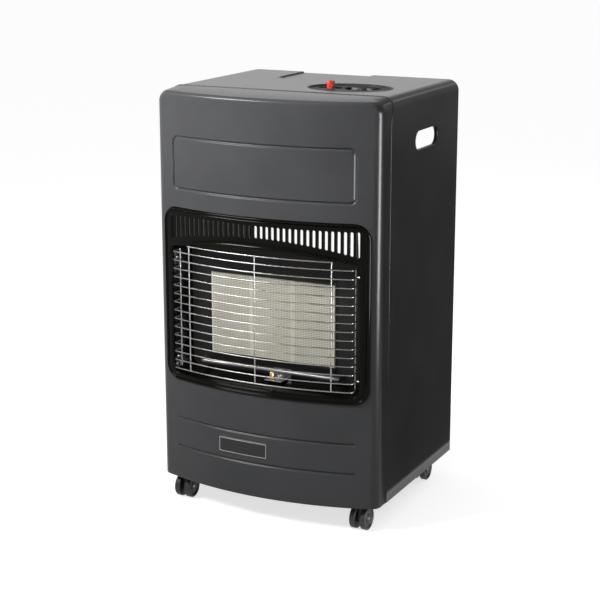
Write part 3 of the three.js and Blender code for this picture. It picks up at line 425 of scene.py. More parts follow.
def plainFinish(name):
    # one row of the table as a material
    values = plainFinishes[name]
    f = Finish(name, Metallic=values.get("metal", 0.0), Specular_IOR_Level=values.get("gloss", 0.5))
    tone = f.noise(*values["tone"])
    skin = f.noise(*values["skin"]) if "skin" in values else tone
    f.feed("Base Color", f.mix(tone.ramp(*values["ramp"]) if "ramp" in values else tone, *values["colours"]))
    base, ofSkin, ofTone = values["rough"]
    for share, noise in ((ofSkin, skin), (ofTone, tone)):
        base = base + share * noise if share else base
    f.feed("Roughness", base)
    f.feed("Normal", f.bump(skin, *values["bump"]))
    return f.material


paint, dishPaint, enamel, zinc = powderCoat(), dishCoat(), blackEnamel(), galvanised()
ceramic, badgeMetal = plaqueCeramic(), bareBadge()
wireChrome, nearBlack, tube, black, red, brass, aluminium, porcelain, rubber = map(plainFinish, plainFinishes)
print("finishes made")


# Camera, first
view = dict(place=(1.200, -2.4355, 1.048), target=(0.0626, -0.1445, 0.3942), lens=94.74, sensor=36.0)


def aim(obj, target):
    # turns the camera or a lamp so that its -z axis points at the target
    direction = np.asarray(target, float) - np.asarray(obj.location)
    obj.rotation_euler = mathutils.Vector(direction).to_track_quat("-Z", "Y").to_euler()


lens = bpy.data.cameras.new("camera")
lens.lens, lens.sensor_width = view["lens"], view["sensor"]
camera = bpy.data.objects.new("camera", lens)
camera.location = view["place"]
aim(camera, view["target"])
bpy.context.scene.collection.objects.link(camera)
bpy.context.scene.camera = camera


# Flat sheets with holes, worked out in the sheet's own two directions plus a depth
def lines(*spans):
    # grid lines from (from, to, step) spans, ends included once
    parts = [np.linspace(a, b, max(2, int(round(abs(b - a) / step)) + 1)) for a, b, step in spans]
    places = np.concatenate(parts)
    return places[np.concatenate([[True], np.abs(np.diff(places)) > 1e-6])]


def stadium(across, along, halfLength, radius):
    # the point of a stadium, and its outward normal, met from a place around it
    reach = halfLength - radius
    beyond = np.abs(across) > reach
    angle = np.arctan2(along, np.abs(across) - reach)
    normal = np.where(beyond[..., None],
                      np.stack([np.sign(across) * np.cos(angle), np.sin(angle)], -1),
                      np.stack([np.zeros_like(across), np.sign(along)], -1))
    middle = np.stack([np.clip(across, -reach, reach), np.zeros_like(across)], -1)
    return middle + normal * radius, normal


def ellipse(across, along, halfLength, halfWide):
    # the point of an ellipse met from a place around it, and the outward normal there
    angle = np.arctan2(along / halfWide, across / halfLength)
    point = np.stack([halfLength * np.cos(angle), halfWide * np.sin(angle)], -1)
    normal = np.stack([np.cos(angle) / halfLength, np.sin(angle) / halfWide], -1)
    return point, normal / np.linalg.norm(normal, axis=-1, keepdims=True)


def lipRows(radius, deep, steps=4):
    # how a hole's edge rolls in: outward distance from the hole, and depth below the sheet
    angle = np.linspace(0, math.pi / 2, steps + 1)
    rows = [(radius * (1 - math.sin(a)), radius * (1 - math.cos(a))) for a in angle]
    return rows + [(0.0, deep)]


def holedSheet(across, along, holes):
    # a tensor grid in which each hole is a ring of quads from a rectangle of grid lines to the hole's curve
    a, b = np.meshgrid(across, along, indexing="ij")
    sheet = np.stack([a, b, np.zeros_like(a)], -1)
    keep = np.ones((len(across) - 1, len(along) - 1), bool)
    parts = []
    for hole in holes:
        centre = np.array(hole["centre"])
        i = [int(np.argmin(np.abs(across - (centre[0] + s * hole["box"][0])))) for s in (-1, 1)]
        j = [int(np.argmin(np.abs(along - (centre[1] + s * hole["box"][1])))) for s in (-1, 1)]
        keep[i[0]:i[1], j[0]:j[1]] = False
        ring = np.vstack([sheet[i[0]:i[1], j[0]], sheet[i[1], j[0]:j[1]],
                          sheet[i[1]:i[0]:-1, j[1]], sheet[i[0], j[1]:j[0]:-1]])
        offset = ring[:, :2] - centre
        curve, normal = hole["curve"](offset[:, 0], offset[:, 1])
        lip = lipRows(hole["lip"], hole["deep"])
        start = curve + normal * lip[0][0]
        rows = []
        for t in np.linspace(0, 1, 6)[:-1]:
            rows.append(np.column_stack([centre + offset * (1 - t) + start * t, np.zeros(len(ring))]))
        for out, deep in lip:
            rows.append(np.column_stack([centre + curve + normal * out, np.full(len(ring), deep)]))
        parts.append(grid(np.array(rows), closeColumns=True))
    return joinParts([faceUp(*part) for part in [grid(sheet, keep=keep)] + parts])


def faceUp(points, faces):
    # the sum of the faces' z shares says whether a nearly flat part faces up; if not, it is turned over
    corners = points[faces]
    way = np.cross(corners[:, 2] - corners[:, 0], corners[:, 3] - corners[:, 1])[:, 2].sum()
    return points, faces if way > 0 else faces[:, ::-1]


def newSheet(name, parts, finish, inside, nodes=(), body="cabinet", wall=1.2, sharp=50.0):
    # a sheet faces away from a place inside it, and gets its wall on that side
    flipped = []
    for points, faces in parts:
        corners = points[faces]
        normals = np.cross(corners[:, 2] - corners[:, 0], corners[:, 3] - corners[:, 1])
        facing = np.sum(normals * (corners.mean(1) - np.asarray(inside, float)))
        flipped.append((points, faces if facing > 0 else faces[:, ::-1]))
    return newPiece(name, flipped, finish, body, nodes, sharp, closed=False, modifiers=[thicken(wall)])


# Front panel: one bowed pressing, rolled over at the top, with a pressed frame and two lines
panel = dict(sideSeam=35.0, topSeam=52.0, bendFrom=690.0, seamRise=(52.0, 7.0), sideRoll=19.0, sideBlend=26.0,
             topRoll=6.5, topDrop=3.2, footRoll=1.5, flange=16.0, edgeRoll=0.9, tuck=4.0, straightTo=700.0,
             grooveHalf=3.4, grooveDepth=2.2, frame=(169.0, 568.0, 656.0, 9.0), lines=(105.5, 158.0),
             lineHalf=170.0, hole=(186.0, 237.0, 527.0, 22.0))
panelAcross = [(186, 176, 1.25), (176, 152, 0.6), (152, 0, 5.0)]  # from, to and step of the mesh's lines
panelUp = [(46.5, 102, 9.0), (102, 109, 0.5), (109, 154.5, 8.0), (154.5, 161.5, 0.5), (161.5, 237, 12.0),
           (237, 527, 12.0), (527, 564, 8.0), (564, 580, 0.55), (580, 645, 8.0), (645, 660, 0.55),
           (660, 700, 5.0)]
filletX = halfCabinet - cabinet["corner"]
filletY = bowCentre - math.sqrt((bowRadius - cabinet["corner"]) ** 2 - filletX ** 2)
bowEnd = filletX * bowRadius / (bowRadius - cabinet["corner"])


def seamDepthAt(z):
    # the joint of panel and wrap goes straight up, then curves back: at each t it is a t - b t squared higher
    # and t squared of its way back
    first, ease = panel["seamRise"]
    rise = np.clip(z - panel["bendFrom"], 0, cabinet["height"] - panel["bendFrom"])
    t = (first - np.sqrt(first ** 2 - 4 * ease * rise)) / (2 * ease)
    return panel["sideSeam"] + (panel["topSeam"] - panel["sideSeam"]) * t ** 2


def roundedBoxDistance(x, z, half, low, high, radius):
    # signed distance to a rounded rectangle, negative inside
    dx = np.abs(x) - (half - radius)
    dz = np.abs(z - (low + high) / 2) - ((high - low) / 2 - radius)
    outside = np.hypot(np.maximum(dx, 0), np.maximum(dz, 0))
    return outside + np.minimum(np.maximum(dx, dz), 0) - radius


def grooveDepthAt(x, z):
    # a soft cosine channel along the pressed frame and the two lines below
    half, low, high, radius = panel["frame"]
    away = np.abs(roundedBoxDistance(x, z, half, low, high, radius))
    for height in panel["lines"]:
        away = np.minimum(away, np.hypot(np.maximum(np.abs(x) - panel["lineHalf"], 0), z - height))
    t = np.clip(away / panel["grooveHalf"], 0, 1)
    return panel["grooveDepth"] * (0.5 + 0.5 * np.cos(math.pi * t))


def frontPlan():
    # the panel's line seen from above, from the right joint round the bow to the left one, as points and outward
    # normals, and how far each lies along the side walls: 1 at the joint and 0 from the rounded corner on
    wallY = lines((panel["sideSeam"] - panel["edgeRoll"], filletY, 4.0))
    endTurn = math.atan2(bowCentre - filletY, -filletX) - math.pi  # the rounded corner's last normal, against +x
    turn = np.linspace(0, endTurn, 13)
    cornerNormal = np.column_stack([np.cos(turn), np.sin(turn)])
    corner = np.array([filletX, filletY]) + cabinet["corner"] * cornerNormal
    bowX = lines((bowEnd, panelAcross[0][0], 1.6), *panelAcross)
    bowX = np.concatenate([bowX, -bowX[-2::-1]])
    bow = np.column_stack([bowX, bowAt(bowX)])
    wall = np.column_stack([np.full(len(wallY), halfCabinet), wallY])
    flip = np.array([-1.0, 1.0])
    plan = np.vstack([wall, corner[1:], bow[1:-1], (corner * flip)[:0:-1], (wall * flip)[::-1]])
    normal = np.vstack([np.tile([1.0, 0.0], (len(wall), 1)), cornerNormal[1:], bowNormal(bowX[1:-1]),
                        (cornerNormal * flip)[:0:-1], np.tile([-1.0, 0.0], (len(wall), 1))])
    wallShare = (wallY - filletY) / (wallY[0] - filletY)
    share = np.concatenate([wallShare, np.zeros(len(plan) - 2 * len(wall)), wallShare[::-1]])
    return plan, normal, share


def makeFrontPanel():
    # rows of the plan stacked up: flange, rolled foot, wall, rolled top edge, and the crowned top to the joint
    plan, normal, share = frontPlan()
    roll, foot, low, height = panel["edgeRoll"], panel["footRoll"], cabinet["low"], cabinet["height"]
    length = np.concatenate([[0], np.cumsum(np.linalg.norm(np.diff(plan, axis=0), axis=1))])
    across = 1 - 2 * length / length[-1]
    sideways = smoothStep(1 - (halfCabinet - np.abs(plan[:, 0])) / panel["sideBlend"])
    rollAt = panel["topRoll"] + (panel["sideRoll"] - panel["topRoll"]) * np.maximum(sideways, share > 0)
    crownAt = height - panel["topDrop"] * (1 - share)  # the front of the top strip lies a little lower

    def row(inset, z):
        # the plan moved inwards by inset, at the height z
        inset, z = (np.broadcast_to(v, len(plan)) for v in (inset, z))
        return np.column_stack([plan - normal * inset[:, None], z])

    rows = [row(panel["flange"], low)] + [row(out, low + up) for out, up in lipRows(foot, 0, 3)[:-2]]
    firstWall = len(rows)
    rows += [row(0, z) for z in lines(*panelUp)]
    lastWall = len(rows)
    for t in np.linspace(0, 1, 5)[1:]:
        rows.append(row(0, panel["straightTo"] + t * (crownAt - rollAt - panel["straightTo"])))
    for a in np.linspace(0, math.pi / 2, 10)[1:]:
        rows.append(row(rollAt * (1 - math.cos(a)), crownAt - rollAt * (1 - math.sin(a))))
    rows = np.array(rows)
    seam = seamDepthAt(rows[..., 2]) - roll
    onWall = share > 0
    rows[:, onWall, 1] = filletY + share[onWall] * (seam[:, onWall] - filletY)
    end = rows[-1]
    target = np.column_stack([(halfCabinet - panel["sideRoll"]) * across,
                              np.full(len(plan), panel["topSeam"] - roll), np.full(len(plan), height)])
    back = np.linspace(0, 1, 12)[1:]
    top = np.array([end * (1 - t) + target * t for t in back])
    top[..., 2] = height - (height - end[:, 2]) * (1 - back[:, None]) ** 2  # crowned, level at the joint
    rows = np.concatenate([rows, top])

    face = rows[firstWall:lastWall]
    outward = np.column_stack([normal, np.zeros(len(normal))])
    face -= outward * grooveDepthAt(face[..., 0], face[..., 2])[..., None]
    middle = (rows[:-1, :-1] + rows[1:, 1:]) / 2
    inHole = roundedBoxDistance(middle[..., 0], middle[..., 2], *panel["hole"]) < 0
    inHole &= middle[..., 1] < filletY + 5  # the front only, not the sides
    main = grid(rows, keep=~inHole)

    # the edge that tucks in at the joint: up one side, over the top and down the other
    rim = np.vstack([rows[firstWall:, 0], rows[-1, 1:-1], rows[:firstWall - 1:-1, -1]])
    bend = np.clip((rim[:, 2] - (height - panel["sideRoll"])) / panel["sideRoll"], 0, 1)
    overTop = np.abs(rim[:, 0]) < halfCabinet - panel["sideRoll"] + 0.01
    tilt = np.arcsin(np.where(overTop & (rim[:, 2] > height - 0.01), 1.0, bend))
    facing = np.column_stack([np.sign(rim[:, 0]) * np.cos(tilt), np.zeros(len(rim)), np.sin(tilt)])
    strip = [rim + [0, roll * math.sin(a), 0] - facing * roll * (1 - math.cos(a))
             for a in np.linspace(0, math.pi / 2, 4)]
    strip.append(rim + [0, roll, 0] - facing * panel["tuck"])
    newSheet("frontPanel", [main, grid(np.array(strip))], paint, inside=(0, 120, 390),
             nodes=["front_panel"])


makeFrontPanel()
print("front panel made")

# Wrap: both sides and the top in one bent sheet
wrap = dict(bend=19.0, seamGap=0.35, edgeRoll=0.5, tuck=4.0, lagOver=26.0, rearFlange=6.0, rearRoll=2.0,
            handle=dict(depth=189.0, height=651.5, half=48.0, radius=15.5, lip=2.2, deep=6.0),
            recess=dict(left=-97.0, right=47.0, front=204.0, radius=44.0, deep=2.2, soft=(2.2, 11.0)))
dish = dict(x=88.0, y=140.0, halfLength=75.0, halfWide=60.0, deep=3.0, slope=5.0, gap=0.3)

# lengths along the wrap's sheet: one side, one bend, the top, and the whole upside-down U
wrapSide = cabinet["height"] - wrap["bend"] - cabinet["low"]
wrapBend = wrap["bend"] * math.pi / 2
wrapTop = cabinet["width"] - 2 * wrap["bend"]
wrapLength = 2 * wrapSide + 2 * wrapBend + wrapTop


def wrapPlace(points):
    # (length along the upside-down U from its left foot, depth, distance below the surface) to x, y, z
    s, y, deep = points.T
    onRight = s > wrapLength / 2
    d = np.where(onRight, wrapLength - s, s)
    turn = np.clip((d - wrapSide) / wrap["bend"], 0, math.pi / 2)
    overTop = np.maximum(d - wrapSide - wrapBend, 0)
    radius = wrap["bend"] - deep
    x = -(halfCabinet - wrap["bend"]) - radius * np.cos(turn) + overTop
    z = np.where(d < wrapSide, cabinet["low"] + d, cabinet["height"] - wrap["bend"] + radius * np.sin(turn))
    return np.column_stack([np.where(onRight, -x, x), y, z])


def makeWrap():
    # the sheet is worked out flat, with its holes, recess and rolled edges, and wrapPlace bends it round
    handle, recess = wrap["handle"], wrap["recess"]
    grip = handle["height"] - cabinet["low"]
    toTop = wrapSide + wrapBend + halfCabinet - wrap["bend"]  # s of x = 0 on the top
    leftTop, rightTop = toTop + recess["left"], toTop + recess["right"]
    dishEnd = toTop + dish["x"] + 82
    side = [(0, grip - 28, 24.0), (grip - 28, grip + 28, 4.0), (grip + 28, wrapSide, 6.0),
            (wrapSide, wrapSide + wrapBend, 3.4)]
    crown = [(wrapSide + wrapBend, leftTop - 3, 11.0), (leftTop - 3, leftTop + 9, 0.9),
             (leftTop + 9, rightTop - 16, 7.0), (rightTop - 16, rightTop + 6, 1.2), (rightTop + 6, dishEnd, 5.0),
             (dishEnd, wrapLength - wrapSide - wrapBend, 5.0)]
    back = [(wrapLength - b, wrapLength - a, step) for a, b, step in reversed(side)]
    s = lines(*side, *crown, *back)
    first = panel["sideSeam"] + wrap["seamGap"]
    y = lines((first + wrap["edgeRoll"], 62, 4.0), (62, 72, 5.0), (72, 208, 4.0),
              (208, 330, 7.0), (330, cabinet["depth"] - wrap["rearRoll"], 2.5))
    y = np.sort(np.concatenate([y[(y < 203) | (y > 214)], np.linspace(203.2, 213.5, 12)]))  # fine at the recess

    def slotCurve(a, b):
        # the hand slot runs along the depth, so the two directions change places
        return tuple(v[..., ::-1] for v in stadium(b, a, handle["half"], handle["radius"]))

    def dishCurve(a, b):
        return ellipse(a, b, dish["halfLength"] + dish["gap"], dish["halfWide"] + dish["gap"])

    holes = [dict(centre=(place, handle["depth"]), box=(28, 60), lip=handle["lip"], deep=handle["deep"],
                  curve=slotCurve) for place in (grip, wrapLength - grip)]
    holes.append(dict(centre=(toTop + dish["x"], dish["y"]), box=(82, 64), lip=0.5, deep=1.2, curve=dishCurve))
    points, faces = holedSheet(s, y, holes)
    # the rear recess: a flat step down, sharp on its left edge and soft on its right
    across, depth = points[:, 0] - toTop, points[:, 1]
    inset = recess["radius"]
    middle = (recess["left"] + recess["right"]) / 2
    reach = (recess["right"] - recess["left"]) / 2
    dx = np.abs(across - middle) - (reach - inset)
    dy = (recess["front"] + inset) - depth
    away = np.hypot(np.maximum(dx, 0), np.maximum(dy, 0)) + np.minimum(np.maximum(dx, dy), 0) - inset
    sharp, softer = recess["soft"]
    soft = sharp + softer * smoothStep((across - middle) / reach)
    points[:, 2] += np.where(np.abs(across) < 170, recess["deep"] * smoothStep(-away / soft), 0)
    rear = lipRows(wrap["rearRoll"], 0)[:-1]
    edge = lipRows(wrap["edgeRoll"], 0)[:-1]
    low = points[:len(s) * len(y), 2].reshape(len(s), len(y))[:, -1]

    def edgeRow(depth, deep):
        return np.column_stack([s, np.full(len(s), depth), np.broadcast_to(deep, len(s))])

    rearRows = [edgeRow(cabinet["depth"] - out, low + deep) for out, deep in rear]
    rearRows.append(edgeRow(cabinet["depth"], low + wrap["rearFlange"]))
    frontRows = [edgeRow(first + out, deep) for out, deep in edge] + [edgeRow(first, wrap["tuck"])]
    parts = [(points, faces), grid(np.array(rearRows)), grid(np.array(frontRows))]
    placed = []
    for points, faces in parts:
        bent = wrapPlace(points)
        lag = np.clip(1 - (points[:, 1] - first) / wrap["lagOver"], 0, 1)  # the front edge follows the joint
        bent[:, 1] += lag * (seamDepthAt(wrapPlace(points * [1, 1, 0])[:, 2]) - panel["sideSeam"])
        placed.append((bent, faces))
    newSheet("cabinetWrap", placed, paint, inside=(0, 150, 390), nodes=["cabinet_wrap"])


makeWrap()
print("wrap made")

# Sunken oval with the knob's cup and the button's dimple, worked out in rings round the knob
knob = dict(x=101.0, y=164.0, cup=31.0, cupFloor=718.0, cupRound=3.5, lip=2.0, top=733.5)
button = dict(x=46.0, y=152.0, radius=6.8, top=744.0, half=24.0, cup=11.0, deep=4.0)


def makeControlDish():
    # rings round the knob's axis, from its stem out to the oval's rim; a ray meets the oval at the root of a
    # quadratic
    angle = np.unique(np.concatenate([np.radians(lines((165, 222, 0.55))), np.radians(lines((222, 525, 2.4)))]))
    angle = angle[:-1]
    ray = np.stack([np.cos(angle), np.sin(angle)], -1)
    a, b = dish["halfLength"], dish["halfWide"]
    start = np.array([knob["x"] - dish["x"], knob["y"] - dish["y"]])
    qa = (ray[:, 0] / a) ** 2 + (ray[:, 1] / b) ** 2
    qb = 2 * (start[0] * ray[:, 0] / a ** 2 + start[1] * ray[:, 1] / b ** 2)
    qc = (start[0] / a) ** 2 + (start[1] / b) ** 2 - 1
    rim = (-qb + np.sqrt(qb ** 2 - 4 * qa * qc)) / (2 * qa)
    cup, lip, low, turn = knob["cup"], knob["lip"], knob["cupFloor"], knob["cupRound"]
    inner = cup + lip

    def heightAt(r):
        # the floor of the oval, rising over its edge; the button's dimple is pressed into it
        edge = np.minimum(1, (rim - r) / dish["slope"])
        z = cabinet["height"] - 0.05 - (dish["deep"] - 0.05) * smoothStep(edge)
        x, y = knob["x"] + r * ray[:, 0] - button["x"], knob["y"] + r * ray[:, 1] - button["y"]
        away = np.hypot(np.maximum(np.abs(x) - (button["half"] - button["cup"]), 0), y) - button["cup"]
        return z - button["deep"] * smoothStep(-away / 4.5 + 0.15)

    rows = [(8.0, low - 0.1), (10.0, low), (18.0, low), (27.5, low)]
    for t in np.linspace(0, math.pi / 2, 6)[1:]:
        rows.append((cup - turn + turn * math.sin(t), low + turn - turn * math.cos(t)))
    lipTop = heightAt(np.full(len(angle), inner))
    for t in np.linspace(0, 1, 4)[1:]:
        rows.append((cup, low + turn + (lipTop - lip - low - turn) * t))
    for t in np.linspace(0, math.pi / 2, 6)[1:]:
        rows.append((cup + lip * (1 - math.cos(t)), lipTop - lip * (1 - math.sin(t))))
    for t in np.linspace(0, 1, 110)[1:]:
        r = inner + (rim - inner) * t
        rows.append((r, heightAt(r)))
    rows.append((rim + 1.5, cabinet["height"] - 0.6))
    rows = [[np.broadcast_to(v, len(angle)) for v in row] for row in rows]
    axis = np.array([knob["x"], knob["y"]])
    points = np.array([np.column_stack([axis + r[:, None] * ray, z]) for r, z in rows])
    newSheet("controlDish", [grid(points, closeColumns=True)], dishPaint, inside=(88, 140, 200),
             nodes=["control_dish"])


makeControlDish()
print("control dish made")

# Knob and button
knobHead = dict(skirt=[(4.2, 723.6), (22.6, 723.6), (24.0, 724.6), (24.0, 727.6), (23.2, 728.9), (21.0, 729.4),
                       (12.0, 729.4), (9.2, 730.2), (8.4, 732.2), (7.4, 732.9), (0.01, 733.1)],
                socket=[(4.2, 723.6), (4.2, 730.0), (0.01, 730.0)],
                notches=40, notchDepth=0.35, notchFrom=22.8,
                gripLength=22.4, gripHalf=4.5, gripTop=3.2, gripEdge=1.0, gripSag=0.35, gripFoot=728.6,
                gripMiddle=731.0)


def makeKnob():
    # a lathed skirt with shallow flutes, and a grip bar: one rounded section carried from end to end
    head, axis = knobHead, np.array([knob["x"], knob["y"]])
    points, faces = turned(rounded(head["skirt"], 0.7, 3), (*axis, 0), sides=160)
    away = points[:, :2] - axis
    rim = np.hypot(away[:, 0], away[:, 1])
    wave = 0.5 + 0.5 * np.cos(np.arctan2(away[:, 1], away[:, 0]) * head["notches"])
    pull = np.where(rim > head["notchFrom"], head["notchDepth"] * wave, 0)
    points[:, :2] -= away * (pull / np.maximum(rim, 1))[:, None]
    u = np.linspace(-1, 1, 25)
    half = np.linspace(head["gripHalf"], head["gripTop"], 6)
    edge, foot = head["gripEdge"], head["gripFoot"]
    top = knob["top"] - head["gripSag"] * u ** 2
    section = [(w, foot + (top - edge - foot) * k / 5) for k, w in enumerate(half)]
    section += [(half[-1] - edge * (1 - math.cos(a)), top - edge + edge * math.sin(a))
                for a in np.linspace(0, math.pi / 2, 5)[1:]]
    section.append((0.0, top))
    section += [(-w, z) for w, z in reversed(section[:-1])]
    taper = np.sqrt(np.clip(1.02 - u ** 8, 0, 1))
    ring = np.array([np.column_stack([w * taper, z]) for w, z in section])
    along = np.broadcast_to((u * head["gripLength"])[None, :, None], ring.shape[:2] + (1,))
    bar = np.concatenate([along, ring], -1) + [*axis, 0]
    ends = []
    for k in (0, -1):  # each end closes onto its own middle
        loop = bar[:, k]
        middle = np.broadcast_to([loop[:, 0].mean(), knob["y"], head["gripMiddle"]], loop.shape)
        ends.append(grid(np.array([loop, middle]), closeColumns=True))
    socket = turned(head["socket"], (*axis, 0), sides=32)
    newPiece("controlKnob", [(points, faces), grid(bar, closeRows=True), *ends, socket], black,
             "knob", ["control_knob"], sharp=34)


def makeButton():
    # a lathed rod with a rounded rim and a slightly hollow top, and the collar it slides in
    r, top = button["radius"], button["top"]
    profile = [(0.01, 706.2), (r - 0.4, 706.2), (r, 706.8), (r, top - 1.8)]
    profile += [(r - 1.8 * (1 - math.cos(a)), top - 1.8 + 1.8 * math.sin(a))
                for a in np.linspace(0.2, math.pi / 2, 6)]
    profile += [(3.4, top - 0.05), (2.4, top - 0.35), (1.2, top - 0.5), (0.01, top - 0.52)]
    middle = (button["x"], button["y"], 0)
    newPiece("igniterButton", turned(profile, middle, sides=64), red, "igniter_plunger",
             ["igniter_button"], sharp=50)
    collar = rounded([(7.35, 727.2), (7.35, 729.9), (9.2, 729.9), (10.2, 728.9), (10.6, 727.4)], 0.5, 3)
    newPiece("igniterCollar", turned(collar, middle, sides=48), black, sharp=45)


makeKnob()
makeButton()
print("controls made")

# Black surround: rim, vent field, hood and funnel
surround = dict(half=195.0, low=228.0, high=536.0, radius=28.0, rim=6.0, face=1.2,
                vents=dict(count=35, pitch=10.25, half=2.6, lip=0.7, top=522.0, middle=501.0, drop=22.0,
                           sagHalf=186.0),
                window=dict(half=177.0, low=241.0, top=466.0, rise=17.0, lowRadius=16.0, topRadius=7.0, roll=2.5),
                back=dict(half=158.0, low=249.0, top=466.0, lowRadius=12.0, topRadius=7.0, depth=23.0),
                hood=dict(middle=493.0, drop=25.0, power=2.5, reach=6.5, half=174.0, creaseHalf=172.0))


def arcPoints(x, z, radius, start, end, steps):
    # an arc about (x, z) from one angle to another, in degrees, with its outward normals
    angle = np.radians(np.linspace(start, end, steps))
    normal = np.column_stack([np.cos(angle), np.sin(angle)])
    return np.array([x, z]) + radius * normal, normal


def edgePoints(start, end, normal, steps):
    # points spaced evenly inside a straight edge, without its ends, and their one normal
    t = np.linspace(0, 1, steps + 2)[1:-1, None]
    points = np.array(start) * (1 - t) + np.array(end) * t
    return points, np.tile(np.array(normal, float), (steps, 1))


def joinRuns(runs):
    # runs of (points, normals) one after the other
    return np.vstack([points for points, _ in runs]), np.vstack([normals for _, normals in runs])


def onBow(places, proud):
    # x and z places laid on the bow, and moved forward from it by proud
    return np.column_stack([places[:, 0], bowAt(places[:, 0]) - proud, places[:, 1]])


def boxLoop(half, low, high, radius, across=60, up=24, cornerSteps=12):
    # a rounded rectangle with outward normals, anticlockwise from its low left corner
    inner = half - radius
    return joinRuns([arcPoints(inner, low + radius, radius, -90, 0, cornerSteps),
                     edgePoints((half, low + radius), (half, high - radius), (1, 0), up),
                     arcPoints(inner, high - radius, radius, 0, 90, cornerSteps),
                     edgePoints((inner, high), (-inner, high), (0, 1), across),
                     arcPoints(-inner, high - radius, radius, 90, 180, cornerSteps),
                     edgePoints((-half, high - radius), (-half, low + radius), (-1, 0), up),
                     arcPoints(-inner, low + radius, radius, 180, 270, cornerSteps),
                     edgePoints((-inner, low), (inner, low), (0, -1), across)])


def windowTop(x):
    # the window's upper edge: a parabola that is highest in the middle
    window = surround["window"]
    return window["top"] + window["rise"] * (1 - (x / window["half"]) ** 2)


def hoodReach(x):
    # how far the hood stands forward: a parabola that ends at its sides
    hood = surround["hood"]
    return hood["reach"] * np.clip(1 - (x / hood["half"]) ** 2, 0, None)


